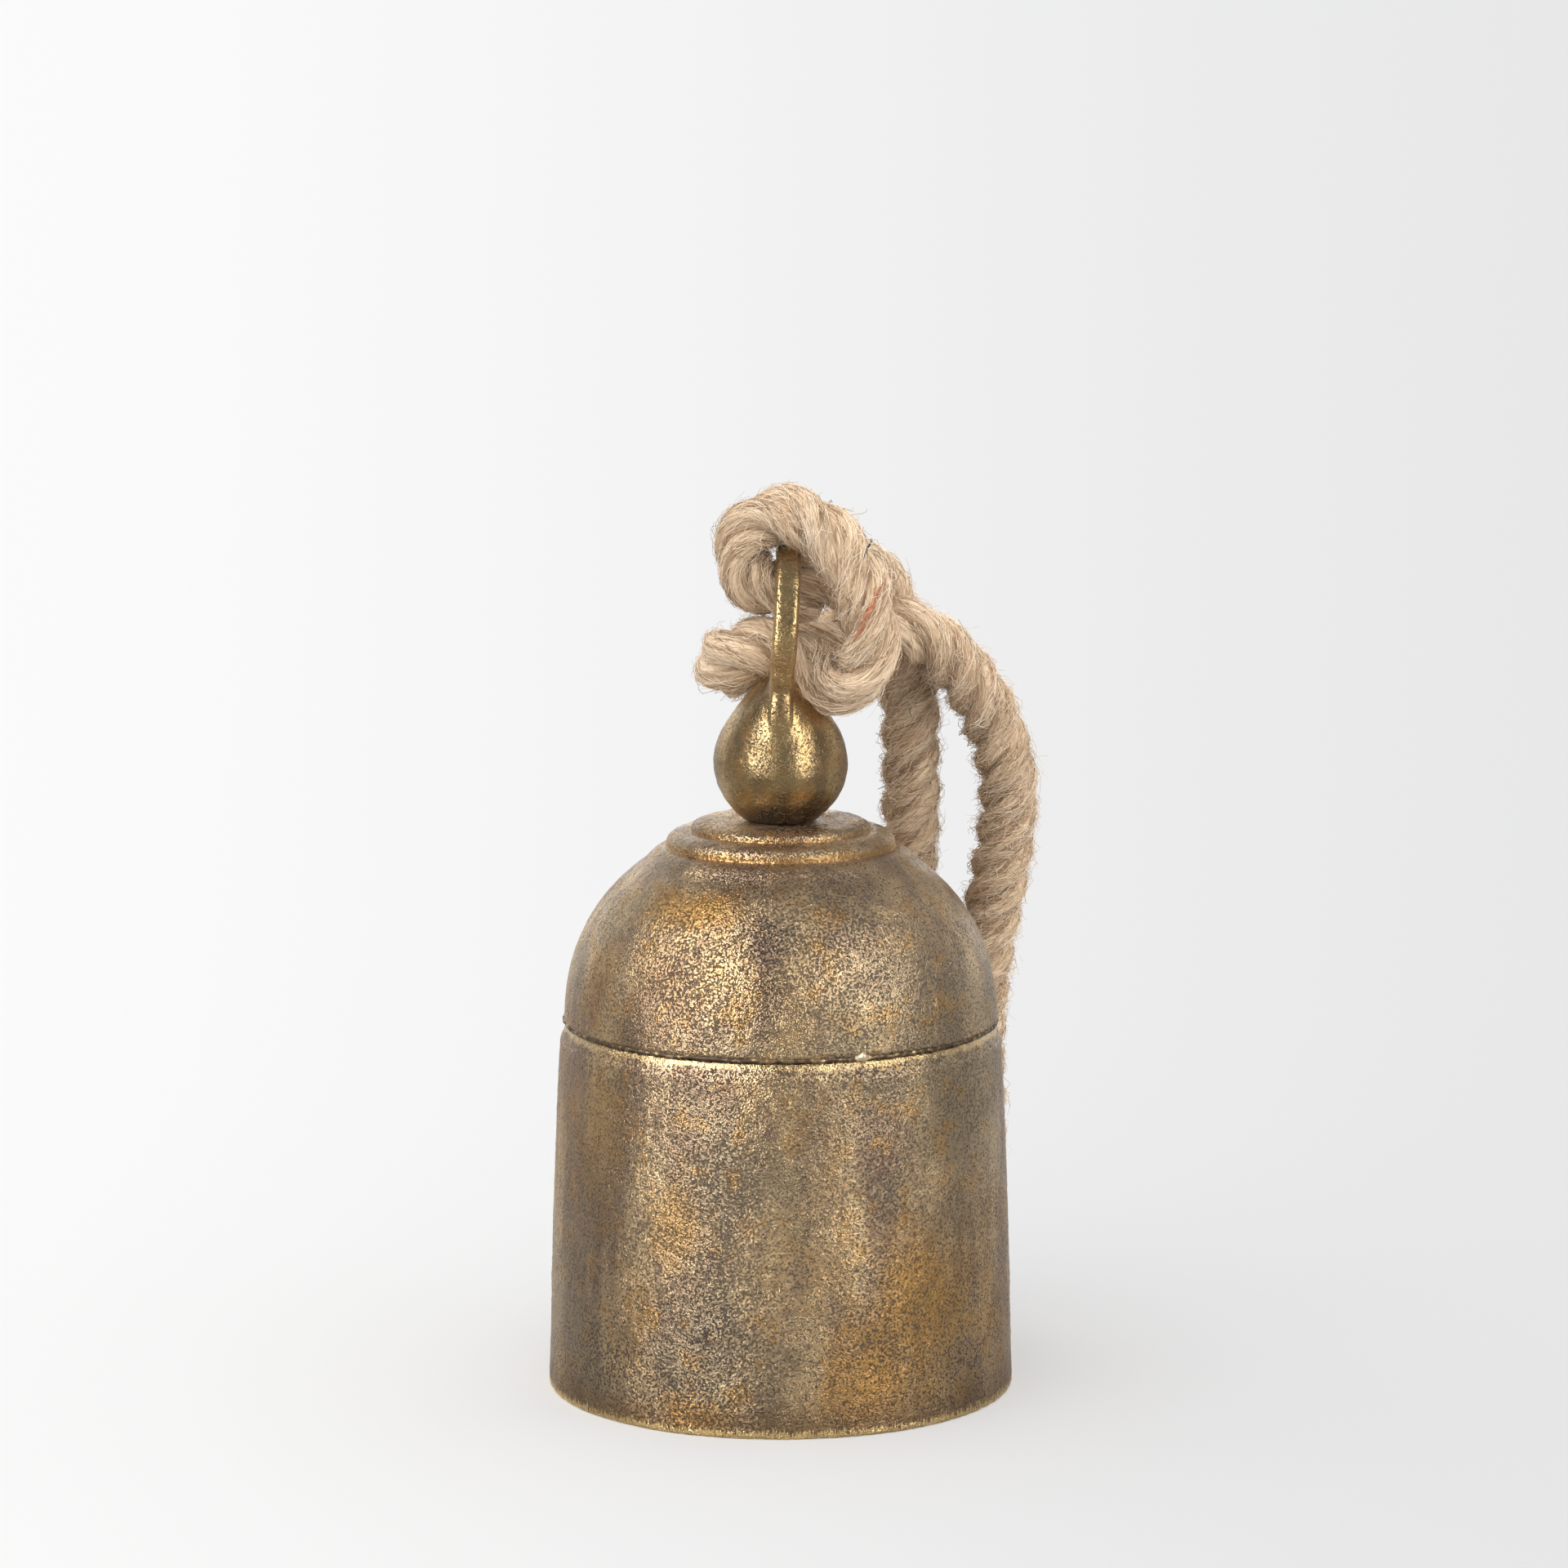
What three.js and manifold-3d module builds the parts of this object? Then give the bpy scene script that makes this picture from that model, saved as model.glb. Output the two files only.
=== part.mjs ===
// A cast brass ship bell with a ball-and-eye finial, a hung clapper and a jute rope hanger.
// Millimetres, +Z up. The origin is the centre of the bell's mouth, on the surface it stands on.
import * as THREE from "three";
import { mergeVertices } from "three/addons/utils/BufferGeometryUtils.js";
import Module from "manifold-3d";

const wasm = await Module();
wasm.setup();

// ---- Bell ----
const mouthRadius = 63.5;
const mouthInnerRadius = 59.4;
const skirtTopRadius = 60.2; // where the shoulder of the skirt starts
const skirtTopInnerRadius = 55.5;
const seamZ = 101.2; // top face of the skirt, where the dome sits
const shoulderHeight = 7.2; // rounded shoulder below the seam
const domeRadius = 59; // superellipse half axes of the dome, from domeZ
const domeHeight = 54.8;
const domeInnerRadius = 53;
const domeInnerHeight = 48.2;
const ceilingRadius = 14; // flat under the crown, for the washer
const domeZ = 100;
const domePower = 2.2;
const spigotDepth = 5; // lip of the dome that locates it inside the skirt
const spigotRadius = 55.1;
const plateauZ = 155.8; // flat on top of the crown, under the ball
const plateauRadius = 17;
const lowStepRadius = 30.8; // where the stepped crown meets the dome
const highStepRadius = 24;
const clearance = 0.3; // between pieces that touch on the real bell

// ---- Finial ----
const ballRadius = 18.2;
const ballZ = 171.3;
const flareTop = [4.9, 191.5]; // radius and height where the ball's neck ends under the eye
const eyeZ = 208.5;
const eyeHalfHeight = 20; // of the eye's centre line
const eyeHalfDepth = 18;
const eyeBarHalfWidth = 3.2; // along X
const eyeBarHalfThickness = 2.7;
const eyeBarChamfer = 1.1;

// ---- Crown hardware and clapper ----
const studRadius = 4;
const studTopZ = 163;
const studBottomZ = 131.5;
const boreRadius = studRadius + clearance;
const washerRadius = 11;
const washerHeight = 1.6;
const nutFlats = 13;
const nutHeight = 6.5;
const lockNutHeight = 4;
const hangerWire = 2; // wire radius of the hanger's eye
const hangerRing = 6.5; // centre-line radius of the hanger's eye
const hangerRingZ = 120;
const linkWire = 1.8;
const linkEnd = 5.2; // centre-line radius of the link's round ends
const linkStraight = 8;
const rodWire = 2;
const rodRing = 5.5;
const rodRadius = 2.5;
const clapperBallRadius = 15;
const clapperBallZ = 30;
const clapperNutFlats = 9;
const clapperNutHeight = 4.3;
const rodBottomZ = 10;

// ---- Rope ----
const ropeRadius = 8; // hanging legs
const ropeKnotRadius = 6.5; // pulled tight round the eye
const ropeSides = 10;
const ropeEndGap = 1; // each tube stops this far short of where two tubes meet
const whippingRadius = 10.2;
const whippingBore = 9;
const whippingLength = 26;

const latheSegments = 48;
const brass = { color: 0x846a41, roughness: 0.45, metalness: 1 };
const domeBrass = { color: 0x7d643f, roughness: 0.42, metalness: 1 };
const finialBrass = { color: 0x8a6c3c, roughness: 0.32, metalness: 1 };
const braze = { color: 0x5b4a30, roughness: 0.7, metalness: 0.8 };
const steel = { color: 0x77756f, roughness: 0.45, metalness: 1 };
const iron = { color: 0x3d3b38, roughness: 0.65, metalness: 0.9 };
const jute = { color: 0xc2a27a, roughness: 0.95, metalness: 0 };
const twine = { color: 0x3a302a, roughness: 0.9, metalness: 0 };

const bell = new THREE.Group();

function addPiece(name, geometry, look, parent = bell) {
  const mesh = new THREE.Mesh(geometry, new THREE.MeshStandardMaterial(look));
  mesh.name = name;
  parent.add(mesh);
  return mesh;
}

// Turns a profile of [radius, height] points about Z; the points run so that the faces point outwards.
function turned(profile, segments = latheSegments) {
  const points = profile.map(([r, z]) => new THREE.Vector2(r, z));
  return new THREE.LatheGeometry(points, segments).rotateX(Math.PI / 2);
}

// A profile that closes on itself makes a ring.
function turnedRing(profile, segments = latheSegments) {
  return turned([...profile, profile[0]], segments);
}

// Points of a superellipse quarter arc from its widest point (turn 0) towards its top (turn 1).
function superArc(radius, height, from, to, steps) {
  return Array.from({ length: steps + 1 }, (_, i) => {
    const t = ((from + ((to - from) * i) / steps) * Math.PI) / 2;
    return [
      radius * Math.cos(t) ** (2 / domePower),
      domeZ + height * Math.sin(t) ** (2 / domePower),
    ];
  });
}

// Turn along a superellipse quarter arc at which its radius has shrunk to the given one.
function superTurn(radius, atRadius) {
  return Math.acos((atRadius / radius) ** (domePower / 2)) / (Math.PI / 2);
}

// Points of a circular arc in the profile plane, from one angle to another, in degrees.
function arc(centreR, centreZ, radius, from, to, steps) {
  return Array.from({ length: steps + 1 }, (_, i) => {
    const a = THREE.MathUtils.degToRad(from + ((to - from) * i) / steps);
    return [centreR + radius * Math.cos(a), centreZ + radius * Math.sin(a)];
  });
}

function solid(geometry) {
  const plain = geometry.clone();
  plain.deleteAttribute("normal");
  plain.deleteAttribute("uv");
  const merged = mergeVertices(plain, 1e-4);
  return new wasm.Manifold(
    new wasm.Mesh({
      numProp: 3,
      vertProperties: merged.attributes.position.array,
      triVerts: new Uint32Array(merged.index.array),
    }),
  );
}

function geometryOf(manifold) {
  const mesh = manifold.getMesh();
  return new THREE.BufferGeometry()
    .setAttribute("position", new THREE.BufferAttribute(mesh.vertProperties, 3))
    .setIndex(new THREE.BufferAttribute(mesh.triVerts, 1));
}

// A hexagon nut with its bore, standing on height z.
function nut(flats, height, bore, z) {
  const outline = new THREE.Shape();
  const corner = flats / Math.sqrt(3);
  for (let i = 0; i < 6; i++) {
    const a = (i * Math.PI) / 3;
    outline[i ? "lineTo" : "moveTo"](corner * Math.cos(a), corner * Math.sin(a));
  }
  outline.closePath();
  outline.holes.push(new THREE.Path().absarc(0, 0, bore, 0, 2 * Math.PI, true));
  const settings = { depth: height, bevelEnabled: false, curveSegments: 24 };
  return new THREE.ExtrudeGeometry(outline, settings).translate(0, 0, z);
}

// ---- Bell shells ----
const shoulderZ = seamZ - shoulderHeight;
const seatRadius = domeRadius - 1.4; // where the joint's groove starts, on the seam
const skirt = turnedRing([
  [mouthInnerRadius + 0.5, 0],
  [mouthRadius - 0.6, 0],
  [mouthRadius, 0.8],
  [63, 20],
  [62.5, 40],
  [61.75, 60],
  [60.9, 80],
  [skirtTopRadius, shoulderZ],
  [59.9, shoulderZ + 3],
  [59.3, seamZ - 1.8],
  [58.6, seamZ - 0.6],
  [seatRadius, seamZ],
  [skirtTopInnerRadius, seamZ],
  [57.4, 60],
  [58.8, 20],
  [mouthInnerRadius, 0.5],
]);
addPiece("bell_skirt", skirt, brass);

const domeSeatZ = seamZ + clearance;
const innerTop = superTurn(domeInnerRadius, ceilingRadius);
const innerArc = superArc(domeInnerRadius, domeInnerHeight, innerTop, 0, 9);
const ceilingZ = innerArc[0][1];
const dome = [
  [spigotRadius, domeSeatZ],
  [seatRadius, domeSeatZ],
  ...superArc(domeRadius, domeHeight, 0.045, superTurn(domeRadius, lowStepRadius), 10),
  [30.2, 149.6],
  [29.3, 150.3],
  [27, 151.4],
  [highStepRadius, 152.5],
  [23.4, 153.6],
  [22.4, 154.1],
  [18, 154.8],
  [plateauRadius + 0.4, 155.5],
  [plateauRadius - 0.4, plateauZ],
  [boreRadius, plateauZ],
  [boreRadius, ceilingZ],
  ...innerArc,
  [domeInnerRadius, seamZ - spigotDepth],
  [spigotRadius, seamZ - spigotDepth],
];
addPiece("bell_dome", turnedRing(dome), domeBrass);

// The bead of braze that fills the groove between skirt and dome and stands a little proud of it.
const bead = turnedRing([
  [domeRadius - 0.5, seamZ + 0.1],
  [domeRadius + 0.2, seamZ - 0.6],
  [domeRadius + 0.75, seamZ - 0.4],
  [domeRadius + 0.9, seamZ + 0.4],
  [domeRadius + 0.5, seamZ + 1],
]);
addPiece("seam_braze", bead, braze);

// ---- Finial: ball, neck and eye in one casting ----
const footZ = plateauZ + clearance;
const footTurn = THREE.MathUtils.radToDeg(Math.asin((footZ - ballZ) / ballRadius));
const ball = turned(
  [
    [0, studTopZ + clearance],
    [boreRadius, studTopZ + clearance],
    [boreRadius, footZ],
    ...arc(0, ballZ, ballRadius, footTurn, 45, 11),
    [8, 189],
    flareTop,
    [3.4, flareTop[1] + 1],
    [0, flareTop[1] + 1.2],
  ],
  32,
);
const barSection = [
  [-eyeBarHalfThickness, -eyeBarHalfWidth + eyeBarChamfer],
  [-eyeBarHalfThickness + eyeBarChamfer, -eyeBarHalfWidth],
  [eyeBarHalfThickness - eyeBarChamfer, -eyeBarHalfWidth],
  [eyeBarHalfThickness, -eyeBarHalfWidth + eyeBarChamfer],
  [eyeBarHalfThickness, eyeBarHalfWidth - eyeBarChamfer],
  [eyeBarHalfThickness - eyeBarChamfer, eyeBarHalfWidth],
  [-eyeBarHalfThickness + eyeBarChamfer, eyeBarHalfWidth],
  [-eyeBarHalfThickness, eyeBarHalfWidth - eyeBarChamfer],
].map(([r, x]) => [eyeHalfDepth + r, x]);
const eye = turnedRing(barSection, 40)
  .rotateY(Math.PI / 2)
  .scale(1, 1, eyeHalfHeight / eyeHalfDepth)
  .translate(0, 0, eyeZ);
addPiece("crown_finial", geometryOf(solid(ball).add(solid(eye))), finialBrass);

// ---- Stud, washer and nuts that clamp the finial through the crown ----
const stud = new THREE.CylinderGeometry(studRadius, studRadius, studTopZ - studBottomZ, 24);
stud.rotateX(Math.PI / 2).translate(0, 0, (studTopZ + studBottomZ) / 2);
addPiece("crown_stud", stud, steel);

const washerZ = ceilingZ - clearance - washerHeight;
const washer = turnedRing(
  [
    [boreRadius, washerZ],
    [washerRadius, washerZ],
    [washerRadius, washerZ + washerHeight],
    [boreRadius, washerZ + washerHeight],
  ],
  32,
);
addPiece("crown_washer", washer, steel);

const nutZ = washerZ - clearance - nutHeight;
const lockNutZ = nutZ - clearance - lockNutHeight;
addPiece("crown_nut", nut(nutFlats, nutHeight, boreRadius, nutZ), steel);

// ---- Hanger: an eye nut screwed on the stud's lower end, with its eye across Y ----
const barrelTopZ = lockNutZ - clearance;
const barrelBottomZ = hangerRingZ + hangerRing - 0.5;
const barrel = turned(
  [
    [0, barrelBottomZ],
    [5, barrelBottomZ],
    [6.8, barrelBottomZ + 2],
    [6.8, barrelTopZ],
    [boreRadius, barrelTopZ],
    [boreRadius, studBottomZ - clearance],
    [0, studBottomZ - clearance],
  ],
  32,
);
const hangerEye = new THREE.TorusGeometry(hangerRing, hangerWire, 8, 24)
  .rotateY(Math.PI / 2)
  .translate(0, 0, hangerRingZ);
addPiece("hanger_lock_nut", nut(nutFlats, lockNutHeight, boreRadius, lockNutZ), steel);
addPiece("clapper_hanger", geometryOf(solid(barrel).add(solid(hangerEye))), steel);

// ---- Link: an oval ring from the hanger's eye to the clapper's eye, in the XZ plane ----
const hangerBarZ = hangerRingZ - hangerRing; // the bar that the link swings on
const linkTopZ = hangerBarZ + hangerWire + linkWire + clearance;
const linkBottomZ = linkTopZ - linkStraight - 2 * linkEnd; // the bar that the clapper rocks on
const linkCentreZ = (linkTopZ + linkBottomZ) / 2;
function linkGeometry() {
  const points = [];
  const endSteps = 8;
  for (const [side, centreZ] of [
    [1, linkCentreZ + linkStraight / 2],
    [-1, linkCentreZ - linkStraight / 2],
  ]) {
    for (let i = 0; i <= endSteps; i++) {
      const a = (i * Math.PI) / endSteps;
      points.push([side * linkEnd * Math.cos(a), centreZ + side * linkEnd * Math.sin(a)]);
    }
  }
  const sides = 8;
  const positions = [];
  const triangles = [];
  points.forEach(([x, z], i) => {
    const [px, pz] = points[(i + points.length - 1) % points.length];
    const [nx, nz] = points[(i + 1) % points.length];
    const out = new THREE.Vector2(nz - pz, px - nx).normalize();
    for (let k = 0; k < sides; k++) {
      const a = (k * 2 * Math.PI) / sides;
      const reach = linkWire * Math.cos(a);
      positions.push(x + out.x * reach, linkWire * Math.sin(a), z + out.y * reach);
      const j = (i + 1) % points.length;
      const l = (k + 1) % sides;
      triangles.push(i * sides + k, i * sides + l, j * sides + k);
      triangles.push(i * sides + l, j * sides + l, j * sides + k);
    }
  });
  return new THREE.BufferGeometry()
    .setAttribute("position", new THREE.Float32BufferAttribute(positions, 3))
    .setIndex(triangles);
}
addPiece("clapper_link", linkGeometry(), steel);

// ---- Clapper: forged rod with its eye across Y, ball and nut ----
const rodRingZ = linkBottomZ + linkWire + rodWire + clearance - rodRing;
const rodTopZ = rodRingZ - rodRing;
const rodEye = new THREE.TorusGeometry(rodRing, rodWire, 8, 24)
  .rotateY(Math.PI / 2)
  .translate(0, 0, rodRingZ);
const rodBar = new THREE.CylinderGeometry(rodRadius, rodRadius, rodTopZ - rodBottomZ, 20)
  .rotateX(Math.PI / 2)
  .translate(0, 0, (rodTopZ + rodBottomZ) / 2);
addPiece("clapper_rod", geometryOf(solid(rodEye).add(solid(rodBar))), iron);

const ballBore = rodRadius + clearance;
const boreTurn = THREE.MathUtils.radToDeg(Math.acos(ballBore / clapperBallRadius));
const clapperBall = turnedRing(
  arc(0, clapperBallZ, clapperBallRadius, -boreTurn, boreTurn, 14),
  32,
);
addPiece("clapper_ball", clapperBall, iron);

const ballFootZ = clapperBallZ - Math.sqrt(clapperBallRadius ** 2 - ballBore ** 2);
const clapperNutZ = ballFootZ - clearance - clapperNutHeight;
addPiece("clapper_nut", nut(clapperNutFlats, clapperNutHeight, ballBore, clapperNutZ), steel);

// ---- Rope: one closed line, from the joint of its two ends up the left leg, through the eye,
// over its top, down in front of it, through it again, round its back and down the right leg ----
const leftLegRoute = [
  [19.3, 71.5, 19.3],
  [1.7, 74, 24],
  [-11.2, 73.1, 36.9],
  [-16, 72.2, 54.5],
  [-14, 72.5, 67],
  [-8.5, 73, 79],
  [-0.5, 73, 89.5],
  [8.8, 71.2, 98.3],
  [18, 67.3, 106],
  [26, 61.6, 114],
  [31.8, 56.2, 123.5],
  [35, 52.3, 133.5],
  [36.1, 50.3, 144.5],
  [36.4, 49.4, 156],
  [36.3, 49, 168],
];
const knotRoute = [
  [36, 49, 180],
  [35.6, 48.9, 190],
  [33.5, 48, 200.5],
  [29.6, 45.3, 210],
  [25.4, 38.2, 217],
  [21.3, 28, 220.3],
  [16.5, 17.7, 220.5],
  [11, 8.7, 219.2],
  [4.8, 2.4, 218],
  [-1.5, 0.2, 218.2],
  [-7.8, -0.7, 221.3],
  [-10.9, -1.4, 228.6],
  [-8, -2.2, 235.8],
  [-1.2, -3, 239.1],
  [6, -5, 238.3],
  [12.3, -7.8, 234.6],
  [17.5, -10.4, 228.6],
  [21.3, -12.2, 221],
  [23.6, -12.8, 212.5],
  [24, -12.4, 204.5],
  [22.8, -11.5, 199],
  [19.4, -9.8, 195],
  [14.8, -7.5, 193.6],
  [10, -5, 195.3],
  [5.4, -2.7, 199.2],
  [0, -1, 202.4],
  [-6.8, 0.5, 202.8],
  [-12.4, 4.5, 200.3],
  [-15, 11, 197.6],
  [-13.7, 18.5, 195.5],
  [-8.8, 25.2, 194.6],
  [-1, 30, 195.5],
  [8, 32.8, 198],
  [17.5, 34, 201],
  [25.5, 33.8, 203],
  [33.5, 33.5, 203.6],
  [41, 34.3, 201],
];
const rightLegRoute = [
  [47.2, 35.8, 195.2],
  [53, 38, 187.5],
  [57.5, 40.5, 179.5],
  [61, 42.5, 170.5],
  [63.2, 44.3, 160.5],
  [63.3, 45.5, 150],
  [62.2, 46.6, 139.5],
  [60.3, 47.8, 128.5],
  [58.4, 48.6, 117],
  [56.6, 48.8, 105.5],
  [55.3, 48.6, 93],
  [54.8, 48.5, 80],
  [54.9, 48.8, 67],
  [54.5, 50, 54.5],
  [49.7, 54.8, 36.9],
  [36.9, 64.2, 24],
];
const ropeRoute = [...leftLegRoute, ...knotRoute, ...rightLegRoute];
const ropeLine = new THREE.CatmullRomCurve3(
  ropeRoute.map((p) => new THREE.Vector3(...p)),
  true,
  "centripetal",
);
const divisions = 20; // of the line between two of its points, to measure lengths along it
ropeLine.arcLengthDivisions = divisions * ropeRoute.length;
const ropeLength = ropeLine.getLength();
const lengthAt = (point) => ropeLine.getLengths()[divisions * point];

// The stretch of the rope's line between two lengths along it.
function stretch(from, to) {
  const path = new THREE.Curve();
  path.getPoint = (t, target) => {
    const along = (from + t * (to - from) + ropeLength) % ropeLength;
    return ropeLine.getPointAt(along / ropeLength, target);
  };
  return path;
}

function polygon(shape, radius, sides) {
  for (let i = 0; i < sides; i++) {
    const a = (i * 2 * Math.PI) / sides;
    shape[i ? "lineTo" : "moveTo"](radius * Math.cos(a), radius * Math.sin(a));
  }
  shape.closePath();
  return shape;
}

function ropeTube(name, radius, from, to, steps) {
  const section = polygon(new THREE.Shape(), radius, ropeSides);
  const extrudePath = stretch(from + ropeEndGap / 2, to - ropeEndGap / 2);
  addPiece(name, new THREE.ExtrudeGeometry(section, { steps, extrudePath }), jute);
}
const knotStart = lengthAt(leftLegRoute.length);
const knotEnd = lengthAt(leftLegRoute.length + knotRoute.length);
ropeTube("rope_leg_left", ropeRadius, 0, knotStart, 16);
ropeTube("rope_knot", ropeKnotRadius, knotStart, knotEnd, 48);
ropeTube("rope_leg_right", ropeRadius, knotEnd, ropeLength, 16);

// Twine whipping over the joint of the rope's two ends, at the foot of the loop.
const whippingSection = polygon(new THREE.Shape(), whippingRadius, 20);
whippingSection.holes.push(polygon(new THREE.Path(), whippingBore, 20));
const whippingPath = stretch(-whippingLength / 2, whippingLength / 2);
const whippingSettings = { steps: 6, extrudePath: whippingPath };
addPiece("rope_whipping", new THREE.ExtrudeGeometry(whippingSection, whippingSettings), twine);

export default bell;
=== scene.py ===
import math
import bpy
import numpy as np
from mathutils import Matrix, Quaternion, Vector, noise


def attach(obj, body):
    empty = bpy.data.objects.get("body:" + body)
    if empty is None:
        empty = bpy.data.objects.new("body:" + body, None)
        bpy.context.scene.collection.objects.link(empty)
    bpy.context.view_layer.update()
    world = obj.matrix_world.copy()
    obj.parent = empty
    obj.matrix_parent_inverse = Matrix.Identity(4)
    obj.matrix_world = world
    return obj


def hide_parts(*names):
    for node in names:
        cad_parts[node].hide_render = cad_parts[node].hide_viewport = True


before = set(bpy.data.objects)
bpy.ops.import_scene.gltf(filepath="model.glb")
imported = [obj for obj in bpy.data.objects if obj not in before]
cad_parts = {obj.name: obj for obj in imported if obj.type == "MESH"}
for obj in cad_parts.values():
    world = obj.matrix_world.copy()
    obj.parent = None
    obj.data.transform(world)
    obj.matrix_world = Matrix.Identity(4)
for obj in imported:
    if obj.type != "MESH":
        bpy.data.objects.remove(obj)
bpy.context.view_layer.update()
mm = 0.001


# node trees: small helpers that every material and every modifier tree below is built with

def addNode(tree, kind, inputs=None, **settings):
    node = tree.nodes.new(kind)
    for name, value in settings.items():
        setattr(node, name, value)
    for name, value in (inputs or {}).items():
        socket = node.inputs[name]
        if isinstance(value, bpy.types.NodeSocket):
            tree.links.new(value, socket)
        else:
            socket.default_value = value
    return node


def doMath(tree, operation, a, b=0.0, c=0.0):
    return addNode(tree, "ShaderNodeMath", {0: a, 1: b, 2: c}, operation=operation).outputs[0]


def doVector(tree, operation, a, b=None, scale=None):
    given = {0: a}
    if b is not None:
        given[1] = b
    if scale is not None:
        given["Scale"] = scale
    return addNode(tree, "ShaderNodeVectorMath", given, operation=operation).outputs[0]


def lengthOf(tree, a):
    return addNode(tree, "ShaderNodeVectorMath", {0: a}, operation="LENGTH").outputs["Value"]


def grade(tree, value, low, high, toLow=0.0, toHigh=1.0):
    return addNode(tree, "ShaderNodeMapRange", {0: value, 1: low, 2: high, 3: toLow, 4: toHigh},
                   interpolation_type="SMOOTHSTEP").outputs[0]


def product(tree, a, b):
    return doMath(tree, "MULTIPLY", a, b)


def scaledBy(tree, a, factor):
    return doVector(tree, "SCALE", a, scale=factor)


def mixColour(tree, amount, first, second):
    return addNode(tree, "ShaderNodeMix", {0: amount, 6: first, 7: second}, data_type="RGBA").outputs[2]


def noiseAt(tree, place, scale, detail=2.0, roughness=0.5, distortion=0.0):
    return addNode(tree, "ShaderNodeTexNoise", {"Vector": place, "Scale": scale, "Detail": detail,
                   "Roughness": roughness, "Distortion": distortion}).outputs["Fac"]


def newMaterial(name):
    material = bpy.data.materials.new(name)
    material.use_nodes = True
    tree = material.node_tree
    shader = tree.nodes["Principled BSDF"]
    place = addNode(tree, "ShaderNodeTexCoord").outputs["Object"]
    return material, tree, shader, place


def plug(tree, socket, value):
    tree.links.new(value, socket)


def bumped(tree, shader, height, distance, strength):
    normal = addNode(tree, "ShaderNodeBump", {"Height": height, "Distance": distance, "Strength": strength})
    plug(tree, shader.inputs["Normal"], normal.outputs["Normal"])


# finishes

brassLook = dict(
    gold=(0.66, 0.475, 0.27, 1), brown=(0.32, 0.22, 0.145, 1), amber=(0.52, 0.29, 0.09, 1),
    olive=(0.36, 0.28, 0.175, 1), hollow=(0.12, 0.10, 0.082, 1), slate=(0.085, 0.08, 0.09, 1),
    bright=(0.86, 0.63, 0.30, 1), glintCream=(0.95, 0.82, 0.62, 1), grain=1500.0, depth=0.00046, rough=0.27,
    hollowShare=0.45, pitShare=0.62, cover=0.0)
finialLook = dict(
    brassLook, gold=(0.54, 0.375, 0.175, 1), brown=(0.24, 0.16, 0.085, 1), amber=(0.48, 0.27, 0.10, 1),
    olive=(0.28, 0.21, 0.105, 1), depth=0.00022, rough=0.28, hollowShare=0.4, pitShare=0.35, cover=0.03)

# stains on the castings, with some painted shade and a painted highlight among them, as marked below:
# colour, centre in mm, half width and half height in mm, strength
skirtStainsAndShade = (
    ("amber", (38, -50, 35), 15, 22, 0.85), ("amber", (-49, -39, 78), 10, 24, 0.5),
    ("amber", (-30, -55, 56), 9, 12, 0.55), ("amber", (-22, -59, 5), 10, 7, 0.8),
    ("amber", (24, -58, 12), 18, 9, 0.6), ("slate", (-17, -61, 26), 7, 12, 0.6),
    ("slate", (-22, -59, 12), 7, 9, 0.5), ("slate", (50, -36, 10), 18, 14, 0.6),
    # painted shade: the slate and brown marks down the front centre, at x 6 and 10 mm, darken the reflection
    # between the two softbox highlights
    ("slate", (-42, -46, 24), 14, 22, 0.6), ("slate", (6, -62, 66), 5, 30, 0.5),
    ("brown", (10, -61, 84), 7, 30, 0.6), ("brown", (-44, -44, 60), 10, 40, 0.4),
    # painted highlight: the cream spot on the raised flaw at 81 mm high
    ("glintCream", (5, -61.4, 81), 0.7, 1.7, 1.0), ("amber", (20, 58, 40), 18, 20, 0.6),
    ("slate", (-35, 50, 25), 12, 18, 0.5), ("amber", (-60, 15, 30), 14, 20, 0.5))
domeStainsAndShade = (
    # painted shade: the brown and slate bands across the front under the crown, at 147 and 143 mm, stand for
    # the dark reflection of the space overhead
    ("brown", (0, -30, 147), 34, 6, 0.7), ("slate", (0, -40, 143), 40, 5, 0.35),
    ("amber", (-25, -37.5, 138), 15, 6, 0.9), ("amber", (-48, -30, 118), 9, 12, 0.5),
    # painted shade: the slate marks at the front centre, at 132 and 118 mm high, darken the reflection
    # between the two softbox highlights
    ("slate", (-1.5, -50, 132), 10, 9, 0.8), ("slate", (-2, -55, 118), 6, 14, 0.4),
    ("amber", (12, -46, 138), 7, 4, 0.4), ("amber", (30, 40, 136), 16, 9, 0.6),
    ("slate", (-20, 50, 126), 12, 12, 0.5))
finialStainsAndShade = (
    # mostly painted shade and dark reflection: dark at the ball's foot, down the front under the bar, beside
    # the bar, on both flanks and on the bar
    ("hollow", (0, 0, 156), 24, 7, 0.75), ("slate", (2.5, -18, 176), 4.5, 9, 0.55),
    ("brown", (0, -17, 190), 10, 6, 0.6), ("amber", (0, -19, 200), 6, 5, 0.7),
    ("brown", (-18, -4, 174), 7, 14, 0.6), ("brown", (18, -3, 174), 7, 14, 0.6),
    ("brown", (0, -21, 213), 5, 6, 0.5))


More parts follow.
